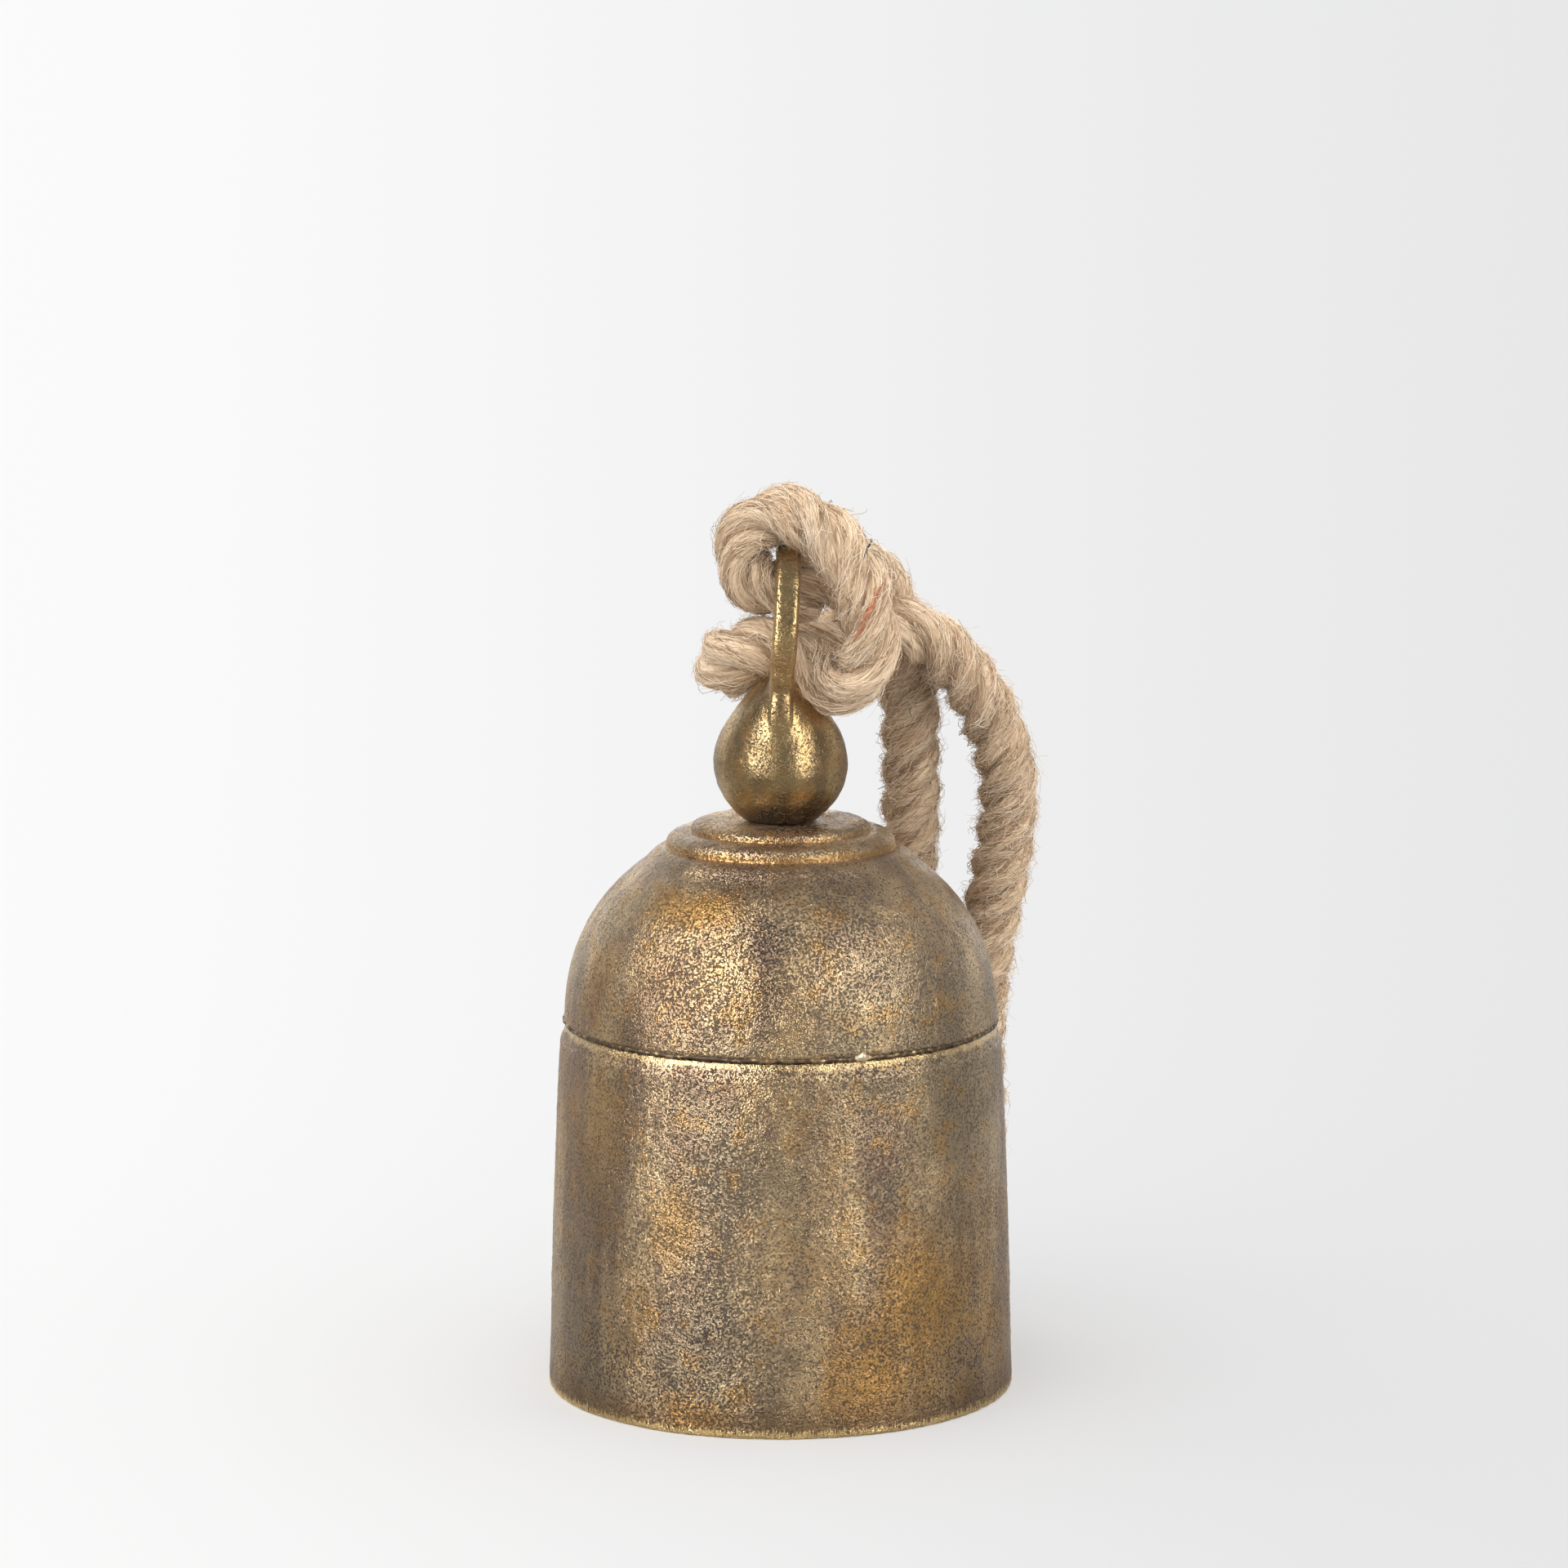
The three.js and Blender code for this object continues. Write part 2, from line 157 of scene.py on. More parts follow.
def stainedAndShaded(tree, place, streaks, lump, skin, look, stainsAndShade):
    for colourName, centre, wide, tall, strength in stainsAndShade:
        away = doVector(tree, "SUBTRACT", place, tuple(v * mm for v in centre))
        away = lengthOf(tree, doVector(tree, "MULTIPLY", away, (1000 / wide, 1000 / wide, 1000 / tall)))
        ragged = doMath(tree, "MULTIPLY_ADD", streaks, 1.6, -0.8) if wide > 2 else 0.0
        away = doMath(tree, "ADD", away, ragged)
        reached = grade(tree, away, 1.3, 0.3, 0.0, strength)
        if colourName == "slate":       # dark slate marks, stains and painted shade alike, lie in the hollows more than on the lumps
            reached = product(tree, reached, doMath(tree, "MULTIPLY_ADD", lump, -0.6, 1.0))
        skin = mixColour(tree, reached, skin, look[colourName])
    return skin


def grooved(tree, place, height, colour, look, grooves):
    reach = lengthOf(tree, doVector(tree, "MULTIPLY", place, (1.0, 1.0, 0.0)))
    onTop = grade(tree, height, 0.1462, 0.1478)
    for radius, width, strength in grooves:
        away = doMath(tree, "ABSOLUTE", doMath(tree, "SUBTRACT", reach, radius * mm))
        line = grade(tree, away, width * mm, width * 0.35 * mm, 0.0, strength)
        colour = mixColour(tree, product(tree, line, onTop), colour, look["amber"])
    return colour


def rimStroked(tree, upright, height, colour, look, rimHeight):
    strokes = noiseAt(tree, upright, 2200.0, 2.0)
    rim = doMath(tree, "ADD", height, doMath(tree, "MULTIPLY_ADD", strokes, 0.0065, -0.0032))
    strokes = grade(tree, rim, rimHeight + 0.0010, rimHeight + 0.0001)
    # darker brown towards the bottom rim
    darkerToRim = grade(tree, height, 0.012, 0.003, 0.0, 0.55)
    colour = mixColour(tree, darkerToRim, colour, (0.20, 0.115, 0.055, 1))
    return mixColour(tree, product(tree, strokes, 0.85), colour, look["bright"])


def antiqueBrass(name, look, seed=0.0, stainsAndShade=(), rimHeight=None, wornEdgeAndSheen=None, grooves=()):
    material, tree, shader, place = newMaterial(name)
    height = addNode(tree, "ShaderNodeSeparateXYZ", {0: place}).outputs["Z"]
    low = grade(tree, height, 0.062, 0.004)
    moved = doVector(tree, "ADD", place, (seed, 0.0, 0.0))
    grain = noiseAt(tree, moved, look["grain"], 3.0, 0.55, 0.2)
    fine = noiseAt(tree, moved, look["grain"] * 1.35, 2.0, 0.6)
    worn = noiseAt(tree, moved, 46.0, 3.0, 0.55)
    clouds = noiseAt(tree, moved, 17.0, 3.0, 0.6)
    upright = addNode(tree, "ShaderNodeMapping", {"Vector": moved, "Scale": (1.0, 1.0, 0.2)}).outputs[0]
    streaks = noiseAt(tree, upright, 60.0, 3.0, 0.6)
    level = addNode(tree, "ShaderNodeMapping", {"Vector": moved, "Scale": (0.06, 0.06, 1.0)}).outputs[0]
    brushed = noiseAt(tree, level, 1900.0, 2.0, 0.6)
    # lumps stand polished, hollows between them keep the patina; worn places have fewer hollows
    cover = grade(tree, worn, 0.36, 0.64, -0.035, 0.04)
    cover = doMath(tree, "ADD", cover, look["cover"])
    # a worn band below the seam has fewer hollows; its brighter colour further down is painted highlight
    if wornEdgeAndSheen is not None:
        edge = doMath(tree, "MULTIPLY_ADD", noiseAt(tree, moved, 180.0, 3.0), 0.003, -0.0015)
        edge = doMath(tree, "SUBTRACT", doMath(tree, "ADD", height, edge), wornEdgeAndSheen)
        edge = grade(tree, doMath(tree, "ABSOLUTE", edge), 0.0014, 0.0004)
        cover = doMath(tree, "MULTIPLY_ADD", edge, 0.12, cover)
    surface = doMath(tree, "ADD", grain, cover)
    lump = grade(tree, surface, 0.43, 0.50)
    pit = grade(tree, surface, 0.425, 0.36)
    # the metal's own colours, in streaks and clouds
    skin = mixColour(tree, grade(tree, streaks, 0.38, 0.62), look["brown"], look["gold"])
    skin = mixColour(tree, grade(tree, clouds, 0.54, 0.40, 0.0, 0.65), skin, look["olive"])
    amberHere = product(tree, grade(tree, clouds, 0.50, 0.66), doMath(tree, "MULTIPLY_ADD", low, 0.5, 0.3))
    skin = mixColour(tree, amberHere, skin, look["amber"])
    mottle = noiseAt(tree, moved, 130.0, 3.0, 0.6)
    skin = mixColour(tree, grade(tree, mottle, 0.52, 0.66, 0.0, 0.5), skin, look["amber"])
    skin = mixColour(tree, grade(tree, mottle, 0.46, 0.34, 0.0, 0.45), skin, look["brown"])
    skin = stainedAndShaded(tree, place, streaks, lump, skin, look, stainsAndShade)
    patina = doMath(tree, "MULTIPLY_ADD", low, 0.3, look["hollowShare"])
    dull = mixColour(tree, patina, skin, look["hollow"])
    colour = mixColour(tree, lump, dull, skin)
    colour = mixColour(tree, product(tree, pit, look["pitShare"]), colour, look["hollow"])
    if grooves:
        colour = grooved(tree, place, height, colour, look, grooves)
    if rimHeight is not None:
        colour = rimStroked(tree, upright, height, colour, look, rimHeight)
    gloss = addNode(tree, "ShaderNodeMix", {0: lump, 2: look["rough"] + 0.14, 3: look["rough"]}).outputs[0]
    gloss = doMath(tree, "ADD", gloss, grade(tree, worn, 0.35, 0.65, 0.05, -0.05))
    # painted highlight: the worn band's colour is mixed towards bright; it is also a little smoother
    if wornEdgeAndSheen is not None:
        colour = mixColour(tree, product(tree, edge, 0.4), colour, look["bright"])
        gloss = doMath(tree, "MULTIPLY_ADD", edge, -0.08, gloss)
    plug(tree, shader.inputs["Base Color"], colour)
    plug(tree, shader.inputs["Roughness"], gloss)
    shader.inputs["Metallic"].default_value = 1.0
    relief = doMath(tree, "SUBTRACT", lump, product(tree, pit, 0.9))
    relief = doMath(tree, "MULTIPLY_ADD", fine, 0.6, relief)
    relief = doMath(tree, "MULTIPLY_ADD", brushed, 0.10, relief)
    bumped(tree, shader, relief, look["depth"], 0.85)
    return material


def seamBraze(name, chip):
    material, tree, shader, place = newMaterial(name)
    lumps = noiseAt(tree, place, 420.0, 3.0, 0.6)
    colour = mixColour(tree, grade(tree, lumps, 0.46, 0.66), (0.10, 0.075, 0.05, 1), (0.42, 0.30, 0.17, 1))
    away = lengthOf(tree, doVector(tree, "SUBTRACT", place, chip))
    away = doMath(tree, "MULTIPLY_ADD", lumps, 0.0012, away)
    colour = mixColour(tree, grade(tree, away, 0.0032, 0.0024), colour, (0.80, 0.66, 0.44, 1))
    plug(tree, shader.inputs["Base Color"], colour)
    plug(tree, shader.inputs["Roughness"], grade(tree, lumps, 0.4, 0.65, 0.6, 0.36))
    shader.inputs["Metallic"].default_value = 1.0
    bumped(tree, shader, lumps, 0.0003, 0.6)
    return material


def plainSteel(name, colour, dark, rust, roughness):
    material, tree, shader, place = newMaterial(name)
    wear = noiseAt(tree, place, 320.0, 4.0, 0.6)
    spots = noiseAt(tree, place, 90.0, 3.0, 0.6)
    tone = mixColour(tree, grade(tree, wear, 0.38, 0.6), dark, colour)
    tone = mixColour(tree, grade(tree, spots, 0.54, 0.68), tone, rust)
    plug(tree, shader.inputs["Base Color"], tone)
    plug(tree, shader.inputs["Roughness"], grade(tree, wear, 0.35, 0.65, roughness + 0.2, roughness))
    plug(tree, shader.inputs["Metallic"], grade(tree, spots, 0.56, 0.7, 1.0, 0.25))
    bumped(tree, shader, wear, 0.0002, 0.5)
    return material


def juteStrand(name):
    material, tree, shader, place = newMaterial(name)
    lay = addNode(tree, "ShaderNodeUVMap", uv_map="lay").outputs[0]
    drawn = addNode(tree, "ShaderNodeMapping", {"Vector": lay, "Scale": (210.0, 12.0, 1.0)}).outputs[0]
    threads = addNode(tree, "ShaderNodeTexNoise", {"Vector": drawn, "Scale": 1.0, "Detail": 3.0,
                                                   "Roughness": 0.65},
                      noise_dimensions="2D").outputs["Fac"]
    broad = addNode(tree, "ShaderNodeMapping", {"Vector": lay, "Scale": (44.0, 6.0, 1.0)}).outputs[0]
    yarns = addNode(tree, "ShaderNodeTexNoise", {"Vector": broad, "Scale": 1.0, "Detail": 2.0},
                    noise_dimensions="2D").outputs["Fac"]
    blotch = noiseAt(tree, place, 60.0, 3.0, 0.6)
    tone = mixColour(tree, grade(tree, threads, 0.3, 0.7), (0.44, 0.28, 0.155, 1), (0.88, 0.69, 0.48, 1))
    # painted shade: dark streaks along the strands stand for the shaded gaps between yarns
    tone = mixColour(tree, grade(tree, yarns, 0.45, 0.36), tone, (0.36, 0.23, 0.13, 1))
    bleached = product(tree, grade(tree, blotch, 0.5, 0.7), 0.35)
    tone = mixColour(tree, bleached, tone, (0.80, 0.65, 0.48, 1))
    plug(tree, shader.inputs["Base Color"], tone)
    shader.inputs["Roughness"].default_value = 0.9
    shader.inputs["Specular IOR Level"].default_value = 0.2
    shader.inputs["Sheen Weight"].default_value = 0.25
    bumped(tree, shader, threads, 0.0005, 0.9)
    return material


def juteFibre(name):
    material, tree, shader, place = newMaterial(name)
    shade = addNode(tree, "ShaderNodeAttribute", attribute_name="shade").outputs["Fac"]
    ramp = addNode(tree, "ShaderNodeValToRGB", {"Fac": shade})
    stops = ramp.color_ramp.elements
    stops[0].color = (0.17, 0.095, 0.045, 1)
    stops[1].color = (0.98, 0.90, 0.76, 1)
    between = ((0.14, (0.46, 0.30, 0.165, 1)), (0.4, (0.80, 0.60, 0.40, 1)), (0.8, (0.90, 0.74, 0.55, 1)))
    for at, colour in between:
        stops.new(at).color = colour
    mottle = noiseAt(tree, place, 400.0, 2.0)
    tone = mixColour(tree, grade(tree, mottle, 0.35, 0.65, 0.2, 0.0), ramp.outputs[0], (0.5, 0.35, 0.21, 1))
    plug(tree, shader.inputs["Base Color"], tone)
    shader.inputs["Roughness"].default_value = 0.8
    shader.inputs["Specular IOR Level"].default_value = 0.25
    shader.inputs["Sheen Weight"].default_value = 0.15
    return material


def darkTwine(name):
    material, tree, shader, place = newMaterial(name)
    lay = noiseAt(tree, place, 1500.0, 2.0, 0.6)
    tone = mixColour(tree, grade(tree, lay, 0.35, 0.65), (0.035, 0.028, 0.022, 1), (0.12, 0.095, 0.07, 1))
    plug(tree, shader.inputs["Base Color"], tone)
    shader.inputs["Roughness"].default_value = 0.75
    bumped(tree, shader, lay, 0.0002, 0.6)
    return material


seamChip = (0.0218, -0.0552, 0.1016)        # where the braze is bright and lumpy
skirtBrass = antiqueBrass("skirt_brass", brassLook, 0.0, skirtStainsAndShade, rimHeight=0.0014, wornEdgeAndSheen=0.0996)
domeBrass = antiqueBrass("dome_brass", brassLook, 0.4, domeStainsAndShade,
                         grooves=((13.6, 0.6, 0.4), (24.6, 0.5, 0.5), (31.2, 0.5, 0.55)))
finialBrass = antiqueBrass("finial_brass", finialLook, 0.9, finialStainsAndShade)
brazeMetal = seamBraze("braze_metal", seamChip)
zincSteel = plainSteel("zinc_steel", (0.50, 0.49, 0.46, 1), (0.24, 0.23, 0.21, 1),
                       (0.22, 0.10, 0.045, 1), 0.38)
blackIron = plainSteel("black_iron", (0.13, 0.12, 0.115, 1), (0.05, 0.045, 0.042, 1),
                       (0.12, 0.055, 0.03, 1), 0.5)
ropeJute = juteStrand("rope_jute")
looseJute = juteFibre("loose_jute")
twineDark = darkTwine("dark_twine")
print("finishes made")


# camera first

viewFrom = dict(place=(0.0009, -1.48404, 0.39582), aim=(0.0009, 0.0, 0.16563), lens=127.3)


def setCamera(settings):
    data = bpy.data.cameras.new("camera")
    data.lens = settings["lens"]
    data.sensor_width = 36.0
    camera = bpy.data.objects.new("camera", data)
    bpy.context.collection.objects.link(camera)
    camera.location = settings["place"]
    toAim = Vector(settings["aim"]) - Vector(settings["place"])
    camera.rotation_euler = toAim.to_track_quat("-Z", "Y").to_euler()
    bpy.context.scene.camera = camera
    return camera


setCamera(viewFrom)


# the rope's route: up behind the bell, through and over the eye, through again, and down behind the bell

leftLegRoute = [
    (19.3, 71.5, 19.3), (1.7, 74, 24), (-11.2, 73.1, 36.9), (-16, 72.2, 54.5), (-14, 72.5, 67),
    (-8.5, 73, 79), (-0.5, 73, 89.5), (8.8, 71.2, 98.3), (18, 67.3, 106), (26, 61.6, 114),
    (31.8, 56.2, 123.5), (35, 52.3, 133.5), (36.1, 50.3, 144.5), (36.4, 49.4, 156), (36.3, 49, 168)]
knotRoute = [
    (36, 49, 180), (35.6, 48.9, 190), (33.5, 48, 200.5), (29.6, 45.3, 210), (25.4, 38.2, 217),
    (21.3, 28, 220.3), (16.5, 17.7, 220.5), (11, 8.7, 219.2), (4.8, 2.4, 218), (-1.5, 0.2, 218.2),
    (-7.8, -0.7, 221.3), (-10.9, -1.4, 228.6), (-8, -2.2, 235.8), (-1.2, -3, 239.1), (6, -5, 238.3),
    (12.3, -7.8, 234.6), (17.5, -10.4, 228.6), (21.3, -12.2, 221), (23.6, -12.8, 212.5),
    (24, -12.4, 204.5), (22.8, -11.5, 199), (19.4, -9.8, 195), (14.8, -7.5, 193.6), (10, -5, 195.3),
    (5.4, -2.7, 199.2), (0, -1, 202.4), (-6.8, 0.5, 202.8), (-12.4, 4.5, 200.3), (-15, 11, 197.6),
    (-13.7, 18.5, 195.5), (-8.8, 25.2, 194.6), (-1, 30, 195.5), (8, 32.8, 198), (17.5, 34, 201),
    (25.5, 33.8, 203), (33.5, 33.5, 203.6), (41, 34.3, 201)]
rightLegRoute = [
    (47.2, 35.8, 195.2), (53, 38, 187.5), (57.5, 40.5, 179.5), (61, 42.5, 170.5), (63.2, 44.3, 160.5),
    (63.3, 45.5, 150), (62.2, 46.6, 139.5), (60.3, 47.8, 128.5), (58.4, 48.6, 117), (56.6, 48.8, 105.5),
    (55.3, 48.6, 93), (54.8, 48.5, 80), (54.9, 48.8, 67), (54.5, 50, 54.5), (49.7, 54.8, 36.9),
    (36.9, 64.2, 24)]

rope = dict(
    spanSteps=24,               # curve points between two route points
    step=0.8 * mm,              # between rings along the rope
    legRadius=7.9 * mm,
    # the rope's radius through the knot, by share of the knot's length
    knotGirth=(
        (0, 7.8), (0.12, 8.2), (0.2, 9.2), (0.26, 9.0), (0.31, 7.8), (0.36, 7.6), (0.43, 8.3), (0.5, 7.9),
        (0.6, 8.0), (0.66, 8.2), (0.74, 8.4), (0.8, 8.6), (0.86, 9.4), (0.93, 9.0), (1, 7.9)),
    legLay=31 * mm, knotLay=46 * mm,        # one turn of the three strands
    fade=26 * mm,               # over which leg turns into knot
    # a strand's centre and its own radius, as shares of the rope's radius
    legShares=(0.41, 0.60), knotShares=(0.475, 0.535),
    sides=30, yarns=10, yarnDepth=0.10, startPhase=0.6, endGap=0.5 * mm)


# a closed centripetal spline
def throughPoints(points, perSpan):
    found = []
    count = len(points)
    for i in range(count):
        a, b, c, d = (points[(i + k - 1) % count] for k in range(4))
        ab, bc, cd = (math.sqrt(np.linalg.norm(q - p)) for p, q in ((a, b), (b, c), (c, d)))
        leave = ((b - a) / ab - (c - a) / (ab + bc) + (c - b) / bc) * bc
        reach = ((c - b) / bc - (d - b) / (bc + cd) + (d - c) / cd) * bc
        for k in range(perSpan):
            u = k / perSpan
            found.append(b * (2 * u**3 - 3 * u**2 + 1) + leave * (u**3 - 2 * u**2 + u)
                         + c * (3 * u**2 - 2 * u**3) + reach * (u**3 - u**2))
    return np.array(found)


def lengthsAlong(points):
    return np.concatenate([[0.0], np.cumsum(np.linalg.norm(np.diff(points, axis=0), axis=1))])


def evenly(points, step):
    along = lengthsAlong(points)
    steps = max(2, int(round(along[-1] / step)))
    at = np.linspace(0.0, along[-1], steps + 1)
    return np.stack([np.interp(at, along, points[:, k]) for k in range(3)], axis=1)


def smoothStep(x):
    x = np.clip(x, 0.0, 1.0)
    return x * x * (3 - 2 * x)


def ropeLine(settings):
    route = np.array(leftLegRoute + knotRoute + rightLegRoute, float) * mm
    perSpan = settings["spanSteps"]
    curve = throughPoints(route, perSpan)
    curve = np.vstack([curve, curve[:1]])
    along = lengthsAlong(curve)
    knotStart = along[len(leftLegRoute) * perSpan]
    knotEnd = along[(len(leftLegRoute) + len(knotRoute)) * perSpan]
    line = evenly(curve, settings["step"])
    at = lengthsAlong(line)
    keep = (at > settings["endGap"]) & (at < at[-1] - settings["endGap"])
    line, at = line[keep], at[keep]
    inKnot = smoothStep((at - knotStart) / settings["fade"]) * smoothStep((knotEnd - at) / settings["fade"])
    share = np.clip((at - knotStart) / (knotEnd - knotStart), 0, 1)
    girth = np.interp(share, *zip(*settings["knotGirth"])) * mm
    radius = settings["legRadius"] + (girth - settings["legRadius"]) * inKnot
    shares = zip(settings["legShares"], settings["knotShares"])
    centre, reach = (radius * (leg + (knot - leg) * inKnot) for leg, knot in shares)
    lay = settings["legLay"] + (settings["knotLay"] - settings["legLay"]) * inKnot
    turn = settings["startPhase"] + np.concatenate([[0.0], np.cumsum(2 * np.pi * np.diff(at) / lay[1:])])
    tangent = np.gradient(line, axis=0)
    tangent /= np.linalg.norm(tangent, axis=1)[:, None]
    side = np.zeros_like(line)
    side[0] = np.cross(tangent[0], (0, 1, 0))
    for i in range(1, len(line)):
        carried = side[i - 1] - tangent[i] * np.dot(side[i - 1], tangent[i])
        side[i] = carried / np.linalg.norm(carried)
    side[0] /= np.linalg.norm(side[0])
    return dict(line=line, at=at, side=side, over=np.cross(tangent, side), centre=centre,
                reach=reach, turn=turn, knot=(knotStart, knotEnd))


def meshObject(name, verts, faces, material=None):
    mesh = bpy.data.meshes.new(name)
    mesh.from_pydata([tuple(v) for v in verts], [], faces)
    mesh.update()
    mesh.shade_smooth()
    piece = bpy.data.objects.new(name, mesh)
    bpy.context.collection.objects.link(piece)
    if material is not None:
        mesh.materials.append(material)
    return piece


def tubeFaces(rings, sides, first=0):
    faces = []
    for i in range(rings - 1):
        here, ahead = first + i * sides, first + (i + 1) * sides
        for j in range(sides):
            k = (j + 1) % sides
            faces.append((here + j, here + k, ahead + k, ahead + j))
    faces.append(tuple(first + j for j in reversed(range(sides))))
    faces.append(tuple(first + (rings - 1) * sides + j for j in range(sides)))
    return faces


# where a point lies on a strand, for every ring
def strandPlace(route, strand, around, share):
    turn = route["turn"] + strand * 2 * np.pi / 3
    out = route["side"] * np.cos(turn)[:, None] + route["over"] * np.sin(turn)[:, None]
    across = route["over"] * np.cos(turn)[:, None] - route["side"] * np.sin(turn)[:, None]
    centre = route["line"] + out * route["centre"][:, None]
    reach = route["reach"] * share
    return centre + (out * np.cos(around) + across * np.sin(around)) * reach[:, None]


def makeRope(route, settings):
    sides = settings["sides"]
    rings = len(route["line"])
    verts, faces, uvs = [], [], []
    for strand in range(3):
        grid = np.zeros((rings, sides, 3))
        for j in range(sides):
            around = 2 * np.pi * j / sides
            # yarns twist against the strand, so their ridges run nearly along the rope
            ridge = np.abs(np.cos(0.5 * settings["yarns"] * (around + 0.55 * route["turn"] + strand)))
            x, y = strand * 9.1 + math.cos(around) * 1.2, math.sin(around) * 1.2
            swell = np.array([noise.noise(Vector((x, y, s * 160))) for s in route["at"]])
            share = 1 + settings["yarnDepth"] * (ridge - 0.6) + 0.05 * swell
            grid[:, j] = strandPlace(route, strand, around, share)
        first = len(verts)
        verts.extend(grid.reshape(-1, 3))
        faces.extend(tubeFaces(rings, sides, first))
    piece = meshObject("jute_rope", verts, faces, ropeJute)
    layer = piece.data.uv_layers.new(name="lay")
    at = route["at"]
    perStrand = rings * sides
    for polygon in piece.data.polygons:
        corners = [piece.data.loops[i].vertex_index % perStrand for i in polygon.loop_indices]
        columns = [c % sides for c in corners]
        wraps = max(columns) - min(columns) > sides // 2 and len(corners) == 4
        for i, corner, column in zip(polygon.loop_indices, corners, columns):
            around = column + (sides if wraps and column < sides // 2 else 0)
            # u runs round the strand, with an offset for each strand, and v runs along the rope
            strand = piece.data.loops[i].vertex_index // perStrand
            ring = corner // sides
            u = around / sides * 0.25 + strand * 0.31 + 0.02 * route["turn"][ring]
            layer.data[i].uv = (u, at[ring] * 10)
    return piece


ropeRoute = ropeLine(rope)
ropeLength = float(ropeRoute["at"][-1] - ropeRoute["at"][0])
ropePiece = makeRope(ropeRoute, rope)
print("rope laid,", round(ropeLength, 4), "m")


# loose fibres of the rope, by Geometry Nodes: hairs that follow the strands and lift off them

def geometryTree(name, inputs):
    tree = bpy.data.node_groups.new(name, "GeometryNodeTree")
    tree.interface.new_socket(name="Geometry", in_out="INPUT", socket_type="NodeSocketGeometry")
    tree.interface.new_socket(name="Geometry", in_out="OUTPUT", socket_type="NodeSocketGeometry")
    for title, kind in inputs:
        tree.interface.new_socket(name=title, in_out="INPUT", socket_type="NodeSocket" + kind)
    given = tree.nodes.new("NodeGroupInput")
    result = tree.nodes.new("NodeGroupOutput")
    return tree, given.outputs, result.inputs[0]


def randomFor(tree, low, high, each, seed):
    node = addNode(tree, "FunctionNodeRandomValue", data_type="FLOAT")
    node.inputs[2].default_value = low
    node.inputs[3].default_value = high
    tree.links.new(each, node.inputs["ID"])
    tree.links.new(seed, node.inputs["Seed"])
    return node.outputs[1]


def carried(tree, title, kind):
    return addNode(tree, "GeometryNodeInputNamedAttribute", {"Name": title}, data_type=kind).outputs[0]


def skinned(tree, curve, profile, material, result):
    skin = addNode(tree, "GeometryNodeCurveToMesh", {"Curve": curve, "Profile Curve": profile,
                                                     "Fill Caps": True})
    solid = addNode(tree, "GeometryNodeRealizeInstances", {0: skin.outputs[0]}).outputs[0]
    dressed = addNode(tree, "GeometryNodeSetMaterial", {"Geometry": solid, "Material": material}).outputs[0]
    tree.links.new(dressed, result)
    return skin


